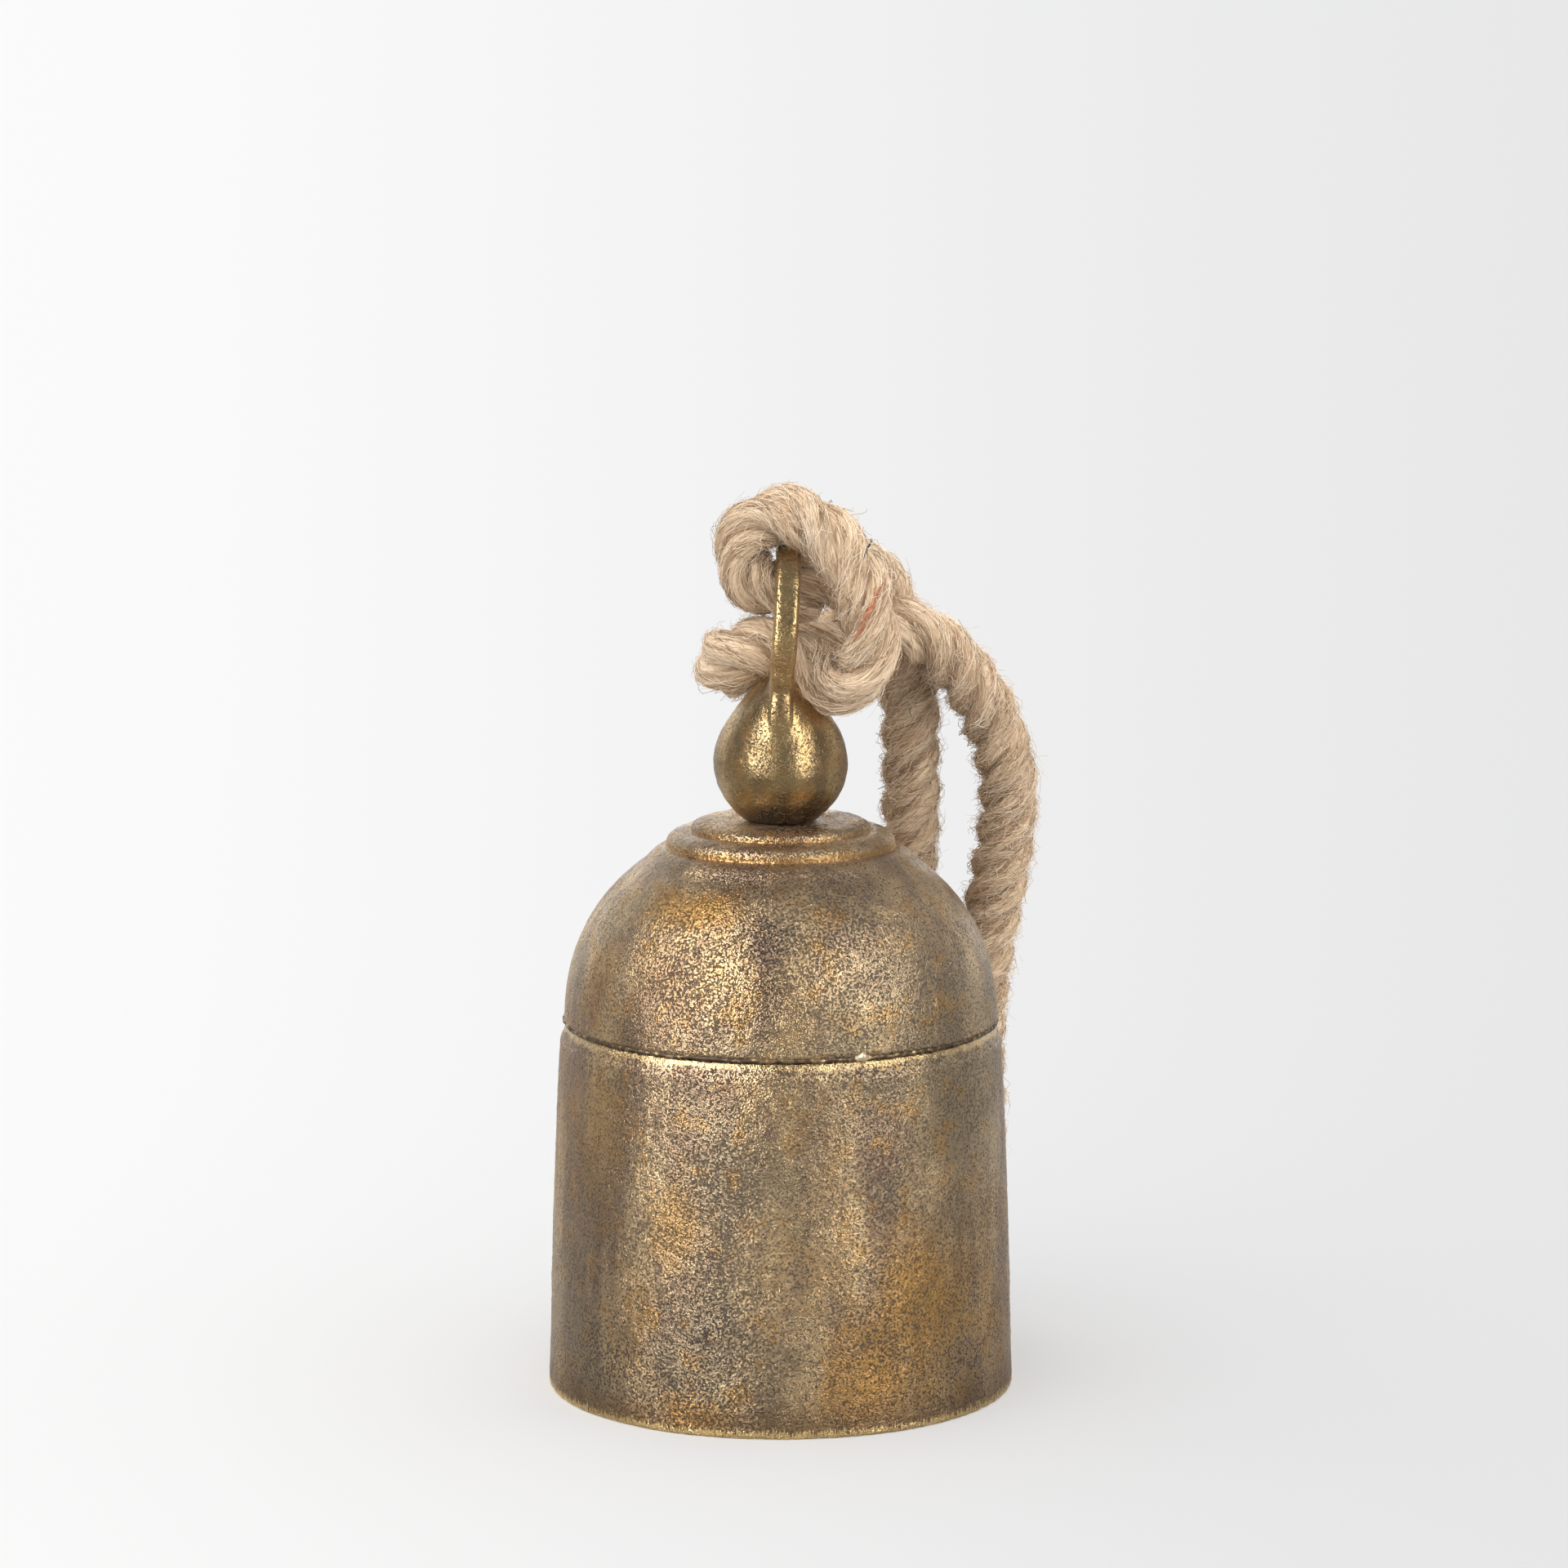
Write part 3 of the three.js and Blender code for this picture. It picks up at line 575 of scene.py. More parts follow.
def fibreTree():
    tree, given, result = geometryTree("jute_fibres", (
        ("Fibres", "Int"), ("Points", "Int"), ("From", "Float"), ("To", "Float"), ("Length", "Float"),
        ("Thickness", "Float"), ("Lift", "Float"), ("Wander", "Float"), ("Slant", "Float"), ("Spread",
                                                                                             "Float"),
        ("Seed", "Int"), ("Material", "Material")))

    def seedPlus(n):
        return addNode(tree, "FunctionNodeIntegerMath", {0: given["Seed"], 1: n}, operation="ADD").outputs[0]

    path = addNode(tree, "GeometryNodeMeshToCurve", {"Mesh": given["Geometry"]}).outputs[0]
    hair = addNode(tree, "GeometryNodeCurvePrimitiveLine").outputs[0]
    hair = addNode(tree, "GeometryNodeResampleCurve", {"Curve": hair, "Count": given["Points"]}).outputs[0]
    copies = addNode(tree, "GeometryNodeDuplicateElements", {"Geometry": hair, "Amount": given["Fibres"]},
                     domain="SPLINE")
    each = copies.outputs["Duplicate Index"]
    t = addNode(tree, "GeometryNodeSplineParameter").outputs["Factor"]
    start = randomFor(tree, 0.0, 1.0, each, seedPlus(1))
    span = doMath(tree, "SUBTRACT", given["To"], given["From"])
    length = doMath(tree, "MULTIPLY", given["Length"], randomFor(tree, 0.45, 1.5, each, seedPlus(2)))
    begin = doMath(tree, "MULTIPLY_ADD", start, span, given["From"])
    s = doMath(tree, "MULTIPLY_ADD", t, length, begin)
    fields = addNode(tree, "ShaderNodeCombineXYZ", {
        i: carried(tree, title, "FLOAT") for i, title in enumerate(("centre", "reach", "turn"))}).outputs[0]

    def sampled(field):
        node = addNode(tree, "GeometryNodeSampleCurve", {"Curves": path, "Length": s},
                       data_type="FLOAT_VECTOR",
                       mode="LENGTH", use_all_curves=False)
        tree.links.new(field, node.inputs["Value"])
        return node

    first = sampled(fields)
    numbers = addNode(tree, "ShaderNodeSeparateXYZ", {0: first.outputs["Value"]}).outputs
    side = sampled(carried(tree, "side", "FLOAT_VECTOR")).outputs["Value"]
    over = doVector(tree, "CROSS_PRODUCT", first.outputs["Tangent"], side)
    strand = doMath(tree, "FLOOR", randomFor(tree, 0.0, 2.999, each, seedPlus(3)))
    turn = doMath(tree, "MULTIPLY_ADD", strand, 2 * math.pi / 3, numbers[2])

    def spun(angle, a, b):
        return doVector(tree, "ADD", scaledBy(tree, a, doMath(tree, "COSINE", angle)),
                        scaledBy(tree, b, doMath(tree, "SINE", angle)))

    out = spun(turn, side, over)
    across = doVector(tree, "SUBTRACT", scaledBy(tree, over, doMath(tree, "COSINE", turn)),
                      scaledBy(tree, side, doMath(tree, "SINE", turn)))
    slant = product(tree, given["Slant"], randomFor(tree, -1.0, 1.0, each, seedPlus(4)))
    around = product(tree, given["Spread"], randomFor(tree, -1.0, 1.0, each, seedPlus(5)))
    around = doMath(tree, "MULTIPLY_ADD", doMath(tree, "SUBTRACT", t, 0.5), slant, around)
    # the ends rise off the strand, each by its own amount
    rise = doMath(tree, "POWER", t, 2.0)
    ownRise = doMath(tree, "POWER", randomFor(tree, 0.0, 1.0, each, seedPlus(6)), 3.0)
    rise = product(tree, product(tree, rise, ownRise), given["Lift"])
    sunk = randomFor(tree, -0.25, 0.12, each, seedPlus(7))
    reach = doMath(tree, "ADD", numbers[1], doMath(tree, "MULTIPLY_ADD", sunk, 0.001, rise))
    offset = scaledBy(tree, out, numbers[0])
    offset = doVector(tree, "ADD", offset, scaledBy(tree, spun(around, out, across), reach))
    # each fibre wanders in its own way
    own = product(tree, randomFor(tree, 0.0, 1.0, each, seedPlus(8)), 900.0)
    curl = {0: own, 1: product(tree, t, 3.0), 2: product(tree, own, 0.37)}
    curl = addNode(tree, "ShaderNodeCombineXYZ", curl).outputs[0]
    drift = addNode(tree, "ShaderNodeTexNoise", {"Vector": curl, "Scale": 1.0,
                                                 "Detail": 1.0}).outputs["Color"]
    drift = scaledBy(tree, doVector(tree, "SUBTRACT", drift, (0.5, 0.5, 0.5)), given["Wander"])
    place = doVector(tree, "ADD", doVector(tree, "ADD", first.outputs["Position"], offset), drift)
    hairs = addNode(tree, "GeometryNodeSetPosition", {"Geometry": copies.outputs[0],
                                                      "Position": place}).outputs[0]
    taper = doMath(tree, "SUBTRACT", 1.0, product(tree, doMath(tree, "POWER", t, 4.0), 0.6))
    ownThickness = randomFor(tree, 0.6, 1.35, each, seedPlus(9))
    thick = product(tree, product(tree, given["Thickness"], ownThickness), taper)
    shade = {"Geometry": hairs, "Name": "shade", "Value": randomFor(tree, 0.0, 1.0, each, seedPlus(10))}
    shaded = addNode(tree, "GeometryNodeStoreNamedAttribute", shade, data_type="FLOAT", domain="POINT")
    sized = addNode(tree, "GeometryNodeSetCurveRadius", {"Curve": shaded.outputs[0],
                                                         "Radius": thick}).outputs[0]
    ring = addNode(tree, "GeometryNodeCurvePrimitiveCircle", {"Resolution": 3, "Radius": 1.0}).outputs[0]
    skin = skinned(tree, sized, ring, given["Material"], result)
    if "Scale" in skin.inputs:      # newer releases take the thickness here
        tree.links.new(thick, skin.inputs["Scale"])
    return tree


def carry(mesh, name, kind, key, values):
    values = np.ascontiguousarray(values, np.float32).ravel()
    mesh.attributes.new(name, kind, "POINT").data.foreach_set(key, values)


# the rope's line as an edge chain that carries the strands' centre, reach, turn and side
def routeCarrier(route):
    line = route["line"]
    mesh = bpy.data.meshes.new("rope_line")
    mesh.from_pydata([tuple(p) for p in line], [(i, i + 1) for i in range(len(line) - 1)], [])
    for name in ("centre", "reach", "turn"):
        carry(mesh, name, "FLOAT", "value", route[name])
    carry(mesh, "side", "FLOAT_VECTOR", "vector", route["side"])
    return mesh


# runs a tree on the source mesh and keeps the result as a plain mesh
def grown(name, tree, source, inputs):
    carrier = bpy.data.objects.new(name + "_carrier", source)
    bpy.context.collection.objects.link(carrier)
    modifier = carrier.modifiers.new("grow", "NODES")
    modifier.node_group = tree
    sockets = {item.name: item.identifier for item in tree.interface.items_tree if item.in_out == "INPUT"}
    for title, value in inputs.items():
        modifier[sockets[title]] = value
    bpy.context.view_layer.update()
    evaluated = carrier.evaluated_get(bpy.context.evaluated_depsgraph_get())
    mesh = bpy.data.meshes.new_from_object(evaluated)
    mesh.name = name
    bpy.data.objects.remove(carrier)
    piece = bpy.data.objects.new(name, mesh)
    bpy.context.collection.objects.link(piece)
    mesh.shade_smooth()
    return piece


fibreCoats = (
    # name, stretch, count, points, then in mm length, thickness, lift and wander, then slant, spread, seed
    ("knot_fibres_a", "knot", 3800, 5, 9, 0.095, 0.5, 1.0, 1.0, 1.8, 11),
    ("knot_fibres_b", "knot", 2700, 6, 7, 0.085, 1.4, 2.8, 2.0, 1.9, 23),
    ("knot_hairs", "knot", 900, 7, 10, 0.13, 1.2, 3.2, 1.8, 1.8, 97),
    ("knot_flyaways", "knot", 1700, 9, 11, 0.065, 4.2, 9.0, 2.6, 2.0, 37),
    ("left_leg_fibres", "left", 5200, 6, 6, 0.095, 1.6, 3.8, 3.2, 2.1, 41),
    ("right_leg_fibres", "right", 5200, 6, 6, 0.095, 1.6, 3.8, 3.2, 2.1, 53),
    ("leg_flyaways_left", "left", 2500, 9, 9, 0.07, 3.4, 9.0, 3.5, 2.0, 67),
    ("leg_flyaways_right", "right", 2500, 9, 9, 0.07, 3.4, 9.0, 3.5, 2.0, 71))
ropeCarrier = routeCarrier(ropeRoute)
coatTree = fibreTree()
knotStart, knotEnd = ropeRoute["knot"]
stretches = {"left": (0.004, knotStart + 0.006), "knot": (knotStart - 0.008, knotEnd),
             "right": (knotEnd - 0.006, ropeLength - 0.014)}
coats = []
for name, stretch, count, points, length, thickness, lift, wander, slant, spread, seed in fibreCoats:
    start, end = stretches[stretch]
    coat = grown(name, coatTree, ropeCarrier, {
        "Fibres": count, "Points": points, "From": start, "To": end, "Length": length * mm,
        "Thickness": thickness * mm, "Lift": lift * mm, "Wander": wander * mm, "Slant": slant,
        "Spread": spread, "Seed": seed, "Material": looseJute})
    coats.append(coat)
    print(name, len(coat.data.polygons), "faces")


# single dyed yarns that show in the knot: they lie on the rope's front, found by looking at it along Y

strays = (
    # name, first and last place as x and z in mm, yarn radius in mm, yarns side by side, colour
    ("rust_yarn", (26.6, 219.5), (20.4, 206.0), 0.22, 7, (0.30, 0.115, 0.055, 1)),
    ("dark_thread", (21.6, 227.6), (24.4, 232.9), 0.13, 3, (0.04, 0.045, 0.04, 1)))


def tubeAlong(points, radius, sides):
    rings = []
    for i, point in enumerate(points):
        along = (points[min(i + 1, len(points) - 1)] - points[max(i - 1, 0)]).normalized()
        side = along.cross(Vector((0, 1, 0))).normalized()
        over = side.cross(along)
        thin = radius * min(1.0, 0.35 + 0.3 * min(i, len(points) - 1 - i))
        for j in range(sides):
            b = 2 * math.pi * j / sides
            rings.append(point + (side * math.cos(b) + over * math.sin(b)) * thin)
    return rings


def makeStray(name, first, last, radius, count, colour):
    material, tree, shader, place = newMaterial(name)
    lighter = tuple(min(1.0, v * 1.6) for v in colour)
    flecks = grade(tree, noiseAt(tree, place, 900.0), 0.35, 0.65)
    plug(tree, shader.inputs["Base Color"], mixColour(tree, flecks, colour, lighter))
    shader.inputs["Roughness"].default_value = 0.85
    verts, faces = [], []
    steps, sides = 18, 6
    depth = -0.02               # until the first look finds the rope
    for yarn in range(count):
        points = []
        offset = (yarn - (count - 1) / 2) * radius * 2.3
        for i in range(steps + 1):
            t = i / steps
            wave = noise.noise(Vector((t * 4.0, yarn * 4.7, radius))) * 5.0 * radius
            x = first[0] + (last[0] - first[0]) * t + offset + wave
            z = first[1] + (last[1] - first[1]) * t + 0.4 * wave + yarn * 0.7
            found, spot = ropePiece.ray_cast(Vector((x * mm, -0.2, z * mm)), Vector((0, 1, 0)))[:2]
            depth = spot.y if found and spot.y < 0.01 else depth
            points.append(Vector((x * mm, depth - 0.3 * radius * mm, z * mm)))
        firstVertex = len(verts)
        verts += tubeAlong(points, radius * mm, sides)
        faces += tubeFaces(len(points), sides, firstVertex)
    return meshObject(name, verts, faces, material)


for stray in strays:
    coats.append(makeStray(*stray))
print("stray yarns laid")


# the twine that whips the two ends of the rope together

whipping = dict(length=26 * mm, radius=8.9 * mm, twine=0.62 * mm, points=900)


def twineTree():
    tree, given, result = geometryTree("twine_turns", (
        ("Turns", "Float"), ("Length", "Float"), ("Radius", "Float"), ("Twine", "Float"), ("Points", "Int"),
        ("Material", "Material")))
    path = addNode(tree, "GeometryNodeMeshToCurve", {"Mesh": given["Geometry"]}).outputs[0]
    line = addNode(tree, "GeometryNodeCurvePrimitiveLine").outputs[0]
    line = addNode(tree, "GeometryNodeResampleCurve", {"Curve": line, "Count": given["Points"]}).outputs[0]
    t = addNode(tree, "GeometryNodeSplineParameter").outputs["Factor"]
    at = {"Curves": path, "Length": product(tree, t, given["Length"])}
    sample = addNode(tree, "GeometryNodeSampleCurve", at, data_type="FLOAT_VECTOR", mode="LENGTH",
                     use_all_curves=False)
    tree.links.new(carried(tree, "side", "FLOAT_VECTOR"), sample.inputs["Value"])
    side = sample.outputs["Value"]
    over = doVector(tree, "CROSS_PRODUCT", sample.outputs["Tangent"], side)
    angle = product(tree, product(tree, t, given["Turns"]), 2 * math.pi)
    uneven = addNode(tree, "ShaderNodeTexNoise", {"W": product(tree, angle, 0.7), "Scale": 1.0},
                     noise_dimensions="1D").outputs["Fac"]
    reach = doMath(tree, "ADD", given["Radius"], doMath(tree, "MULTIPLY_ADD", uneven, 0.0005, -0.00025))
    sideways = scaledBy(tree, side, product(tree, reach, doMath(tree, "COSINE", angle)))
    upward = scaledBy(tree, over, product(tree, reach, doMath(tree, "SINE", angle)))
    place = doVector(tree, "ADD", sample.outputs["Position"], doVector(tree, "ADD", sideways, upward))
    turns = addNode(tree, "GeometryNodeSetPosition", {"Geometry": line, "Position": place}).outputs[0]
    ring = addNode(tree, "GeometryNodeCurvePrimitiveCircle", {"Resolution": 8, "Radius": given["Twine"]})
    skinned(tree, turns, ring.outputs[0], given["Material"], result)
    return tree


# the middle of the two rope ends, across the joint
def whippingCarrier(route, settings):
    reach = settings["length"] / 2
    at = route["at"]
    tail, head = at > at[-1] - reach, at < at[0] + reach
    line = np.vstack([route["line"][tail], route["line"][head]])
    mesh = bpy.data.meshes.new("whipping_line")
    mesh.from_pydata([tuple(p) for p in line], [(i, i + 1) for i in range(len(line) - 1)], [])
    tangent = np.gradient(line, axis=0)
    tangent /= np.linalg.norm(tangent, axis=1)[:, None]
    side = np.tile((0.0, 1.0, 0.0), (len(line), 1))
    side -= tangent * np.sum(side * tangent, axis=1)[:, None]
    side /= np.linalg.norm(side, axis=1)[:, None]
    carry(mesh, "side", "FLOAT_VECTOR", "vector", side)
    return mesh


whippingPiece = grown("twine_whipping", twineTree(), whippingCarrier(ropeRoute, whipping), {
    "Turns": whipping["length"] / (2.05 * whipping["twine"]), "Length": whipping["length"] * 0.98,
    "Radius": whipping["radius"], "Twine": whipping["twine"], "Points": whipping["points"],
    "Material": twineDark})
print("whipping turned", len(whippingPiece.data.polygons))


# the castings: fine lathe grids, then a sand-cast skin by Geometry Nodes

def filletArc(centre, radius, start, end, steps=8):
    angles = np.radians(np.linspace(start, end, steps))
    return [(centre[0] + radius * math.cos(a), centre[1] + radius * math.sin(a)) for a in angles]


def spaced(outline, step):
    outline = np.array([(r, 0.0, z) for r, z in outline]) * mm
    found = [outline[0]]
    for a, b in zip(outline[:-1], outline[1:]):
        gap = np.linalg.norm(b - a)
        count = max(1, int(round(gap / step)))
        found.extend(a + (b - a) * (k / count) for k in range(1, count + 1))
    return np.array(found)


# the faces of a grid that closes on itself both ways
def ringFaces(rows, columns):
    faces = []
    for i in range(rows):
        n = (i + 1) % rows
        for j in range(columns):
            k = (j + 1) % columns
            faces.append((i * columns + j, i * columns + k, n * columns + k, n * columns + j))
    return faces


# rows hold a closed outline in the XZ plane, run up the outside
def latheGrid(name, rows, segments, material):
    angles = 2 * np.pi * np.arange(segments) / segments
    verts = np.zeros((len(rows), segments, 3))
    verts[:, :, 0] = rows[:, 0][:, None] * np.cos(angles)
    verts[:, :, 1] = rows[:, 0][:, None] * np.sin(angles)
    verts[:, :, 2] = rows[:, 2][:, None]
    return meshObject(name, verts.reshape(-1, 3), ringFaces(len(rows), segments), material)


# an open curve through outline points
def smoothed(points, perSpan=10):
    p = np.array(points, float)
    p = np.vstack([2 * p[0] - p[1], p, 2 * p[-1] - p[-2]])
    found = []
    for i in range(1, len(p) - 2):
        for k in range(perSpan):
            u = k / perSpan
            a, b, c, d = p[i - 1], p[i], p[i + 1], p[i + 2]
            found.append(0.5 * (2 * b + (c - a) * u + (2 * a - 5 * b + 4 * c - d) * u**2
                                + (3 * b - a - 3 * c + d) * u**3))
    return found + [p[-2]]


# a dome's quarter from the springing up to the crown, where (r/R)^n + (h/H)^n = 1
def superQuarter(radius, low, high, power, steps=48):
    found = []
    for k in range(steps + 1):
        a = math.pi / 2 * k / steps
        found.append((radius * math.cos(a) ** (2 / power), low + (high - low) * math.sin(a) ** (2 / power)))
    return found


skirt = dict(segments=530, step=0.72 * mm, insideStep=4 * mm)
dome = dict(segments=500, step=0.8 * mm, ringStep=0.48 * mm, insideStep=4 * mm)


def makeSkirt(settings):
    outside = smoothed([(63.5, 2.2), (63.3, 8), (63.0, 20), (62.5, 40), (61.75, 60), (60.9, 80), (60.4, 90),
                        (60.15, 94.5)])
    shoulder = filletArc((57.4, 95.2), 2.75, 8, 38, 5) + [(58.9, 98.6), (58.1, 100.6)]
    foot = [(60.3, 0.0), (61.0, 0.0)] + filletArc((62.4, 1.1), 1.1, 270, 360, 6)
    inside = [(55.5, 100.6), (55.5, 94.5), (57.0, 60), (58.6, 20), (59.6, 1.4)]
    seen = spaced(foot + outside + shoulder, settings["step"])
    hidden = spaced([shoulder[-1]] + inside, settings["insideStep"])[1:]
    return latheGrid("bell_skirt_cast", np.vstack([seen, hidden]), settings["segments"], skirtBrass)


def makeDome(settings):
    wall = [(r, z) for r, z in superQuarter(59.0, 100.0, 154.8, 2.2) if 101.5 < z < 144.6]
    # three rolls with steep lower faces, up to the finial's seat
    rings = [(36.3, 145.6), (35.2, 146.8), (34.0, 147.8), (32.8, 148.5), (31.8, 148.8), (31.2, 148.8),
             (31.0, 149.1), (31.0, 150.2), (30.6, 151.3), (29.7, 152.2), (28.3, 152.9), (26.6, 153.3),
             (25.2, 153.3), (24.5, 153.2), (24.35, 153.4), (24.3, 154.2), (23.8, 155.0), (22.8, 155.6),
             (21.2, 156.05), (19.0, 156.3), (16.5, 156.4), (14.6, 156.3), (13.9, 155.9), (13.3, 155.6),
             (10.0, 155.7), (4.4, 155.8)]
    vault = [(r, z) for r, z in reversed(superQuarter(53.0, 100.0, 148.2, 2.2)) if r > 14]
    inside = [(4.4, 147.2)] + vault + [(53.0, 96.4), (55.0, 96.4), (55.0, 101.2), (58.6, 101.2)]
    seen = np.vstack([spaced([(58.9, 101.4)] + wall + rings[:1], settings["step"]),
                      spaced(rings, settings["ringStep"])[1:]])
    hidden = spaced([rings[-1]] + inside, settings["insideStep"])[1:]
    return latheGrid("bell_dome_cast", np.vstack([seen, hidden]), settings["segments"], domeBrass)


def castTree():
    tree, given, result = geometryTree("sand_cast_skin", (
        ("Grain size", "Float"), ("Grain depth", "Float"), ("Lump size", "Float"), ("Lump depth", "Float"),
        ("Dent size", "Float"), ("Dent depth", "Float"), ("Seed", "Float")))
    place = addNode(tree, "GeometryNodeInputPosition").outputs[0]
    normal = addNode(tree, "GeometryNodeInputNormal").outputs[0]
    shift = addNode(tree, "ShaderNodeCombineXYZ", {0: given["Seed"], 1: given["Seed"], 2: 0.0}).outputs[0]
    moved = doVector(tree, "ADD", place, shift)

    def layer(size, depth, detail):
        value = noiseAt(tree, moved, doMath(tree, "DIVIDE", 1.0, size), detail)
        return product(tree, doMath(tree, "SUBTRACT", value, 0.5), depth)

    grain = layer(given["Grain size"], given["Grain depth"], 0.0)
    lumps = layer(given["Lump size"], given["Lump depth"], 1.0)
    dents = layer(given["Dent size"], given["Dent depth"], 1.0)
    total = doMath(tree, "ADD", doMath(tree, "ADD", grain, lumps), dents)
    offset = {"Geometry": given["Geometry"], "Offset": scaledBy(tree, normal, total)}
    tree.links.new(addNode(tree, "GeometryNodeSetPosition", offset).outputs[0], result)
    return tree


# size and depth in mm of the grain, the lumps and the dents
def castSkin(piece, tree, grain, lumps, dents, seed):
    name, mesh = piece.name, piece.data
    bpy.data.objects.remove(piece)
    mesh.name = name + "_smooth"
    sizes = {"Seed": seed}
    for kind, (size, depth) in (("Grain", grain), ("Lump", lumps), ("Dent", dents)):
        sizes[kind + " size"] = size * mm
        sizes[kind + " depth"] = depth * mm
    return grown(name, tree, mesh, sizes)


finial = dict(
    # half width, half depth and height in mm of the ball and its neck
    body=[(9.6, 9.6, 155.9), (12.6, 12.6, 158.5), (15.3, 15.3, 161.9), (17.2, 17.2, 165.8),
          (18.1, 18.1, 169.6), (18.2, 18.2, 172.7), (17.6, 17.9, 176.3), (16.4, 17.7, 179.6),
          (14.7, 17.5, 182.6), (12.2, 17.3, 186.1), (9.6, 17.1, 189.7), (6.6, 16.4, 193.2),
          (4.6, 15.2, 195.3), (3.4, 13.4, 196.5), (2.0, 11.4, 197.3), (0.01, 10.0, 197.5)],
    eyeZ=208.5, eyeHeight=20.0, eyeDepth=18.0, barWidth=3.45, barDepth=2.7, barFoot=0.6,
    voxel=0.42, plainTurns=8, meltTurns=34,     # smoothing turns of the whole, then of the neck too
    ridge=0.8, lean=2.2)


def squared(value):
    return math.copysign(abs(value) ** 0.5, value)


# the eye's bar as a closed ring, a little thicker at its foot
def eyeRing(settings):
    around, sides = 200, 36
    tall, deep = settings["eyeHeight"], settings["eyeDepth"]
    verts = []
    for i in range(around):
        a = 2 * math.pi * i / around
        centre = Vector((0, deep * math.sin(a), settings["eyeZ"] + tall * math.cos(a)))
        out = Vector((0, tall * math.sin(a), deep * math.cos(a))).normalized()
        thick = settings["barDepth"] + settings["barFoot"] * float(smoothStep((204.0 - centre.z) / 8.0))
        for j in range(sides):
            b = 2 * math.pi * j / sides
            n = thick * squared(math.sin(b))
            x = settings["barWidth"] * squared(math.cos(b))
            verts.append(Vector((x, centre.y + out.y * n, centre.z + out.z * n)) * mm)
    return verts, ringFaces(around, sides)


def makeFinial(settings):
    wide, deep, high = (np.array(column) for column in zip(*settings["body"]))
    outline = [(0.01, 155.9)] + list(zip(wide, high))
    body = latheGrid("finial_body", spaced(outline, 1.0 * mm), 120, None)
    verts = []
    for vertex in body.data.vertices:
        x, y, z = vertex.co
        stretch = np.interp(z / mm, high, deep) / np.interp(z / mm, high, wide)
        verts.append((x, y * stretch, z))
    faces = [tuple(p.vertices) for p in body.data.polygons]
    bpy.data.objects.remove(body)
    more, sides = eyeRing(settings)
    faces += [tuple(k + len(verts) for k in side) for side in sides]
    verts += more
    piece = meshObject("finial_blank", verts, faces)
    remesh = piece.modifiers.new("remesh", "REMESH")
    remesh.mode = "VOXEL"
    remesh.voxel_size = settings["voxel"] * mm
    evaluated = piece.evaluated_get(bpy.context.evaluated_depsgraph_get())
    made = bpy.data.meshes.new_from_object(evaluated)
    bpy.data.objects.remove(piece)
    # melt the neck together, and only take the voxel steps off the rest
    place = np.empty(len(made.vertices) * 3, np.float32)
    made.vertices.foreach_get("co", place)
    place = place.reshape(-1, 3).astype(float)
    edges = np.empty(len(made.edges) * 2, np.int32)
    made.edges.foreach_get("vertices", edges)
    edges = edges.reshape(-1, 2)
    count = np.bincount(edges.ravel(), minlength=len(place))[:, None]
    height = place[:, 2] / mm
    neck = smoothStep((height - 180) / 5) * smoothStep((203 - height) / 5)
    for turn in range(settings["meltTurns"]):
        total = np.zeros_like(place)
        np.add.at(total, edges[:, 0], place[edges[:, 1]])
        np.add.at(total, edges[:, 1], place[edges[:, 0]])
        weight = 0.5 * (neck if turn >= settings["plainTurns"] else np.ones_like(neck))
        place += (total / count - place) * weight[:, None]
    # the bar runs on as a low ridge down the front and back of the ball, and the eye leans a little
    height = place[:, 2] / mm
    ridge = smoothStep((height - 181) / 6) * smoothStep((200 - height) / 5)
    ridge *= smoothStep((3.3 - np.abs(place[:, 0]) / mm) / 0.8) * smoothStep(np.abs(place[:, 1]) / mm / 6)
    place[:, 1] += np.sign(place[:, 1]) * ridge * settings["ridge"] * mm
    place[:, 0] += settings["lean"] * mm * smoothStep((height - 185) / 45)
    made.vertices.foreach_set("co", place.astype(np.float32).ravel())
    made.update()
    made.materials.clear()
    made.materials.append(finialBrass)
    made.name = "crown_finial_cast"
    made.shade_smooth()
    cast = bpy.data.objects.new("crown_finial_cast", made)
    bpy.context.collection.objects.link(cast)
    return cast


seam = dict(segments=900, sides=12, radius=58.75, height=101.15, thick=0.62)     # lengths in mm


def makeSeam(settings):
    segments, sides = settings["segments"], settings["sides"]
    chipAt = math.atan2(seamChip[1], seamChip[0]) % (2 * math.pi)
    verts = []
    for i in range(segments):
        a = 2 * math.pi * i / segments
        flat = Vector((math.cos(a), math.sin(a), 0))
        rough = noise.noise(Vector((math.cos(a) * 34, math.sin(a) * 34, 3.3)))
        rise = noise.noise(Vector((math.cos(a) * 12, math.sin(a) * 12, 8.3)))
        chip = math.exp(-((a - chipAt) / 0.018) ** 2)
        thick = (settings["thick"] + 0.30 * rough + 0.75 * chip) * mm
        middle = (settings["height"] + 0.5 * chip + 0.3 * rise) * mm
        for j in range(sides):
            b = 2 * math.pi * j / sides
            lump = 1 + 0.18 * noise.noise(Vector((math.cos(a) * 90, math.sin(a) * 90, b * 1.4)))
            r = (settings["radius"] + 0.35 * chip) * mm + thick * lump * 0.9 * math.cos(b)
            verts.append(flat * r + Vector((0, 0, middle + thick * lump * math.sin(b))))
    faces = [tuple(reversed(face)) for face in ringFaces(segments, sides)]
    return meshObject("seam_braze_line", verts, faces, brazeMetal)


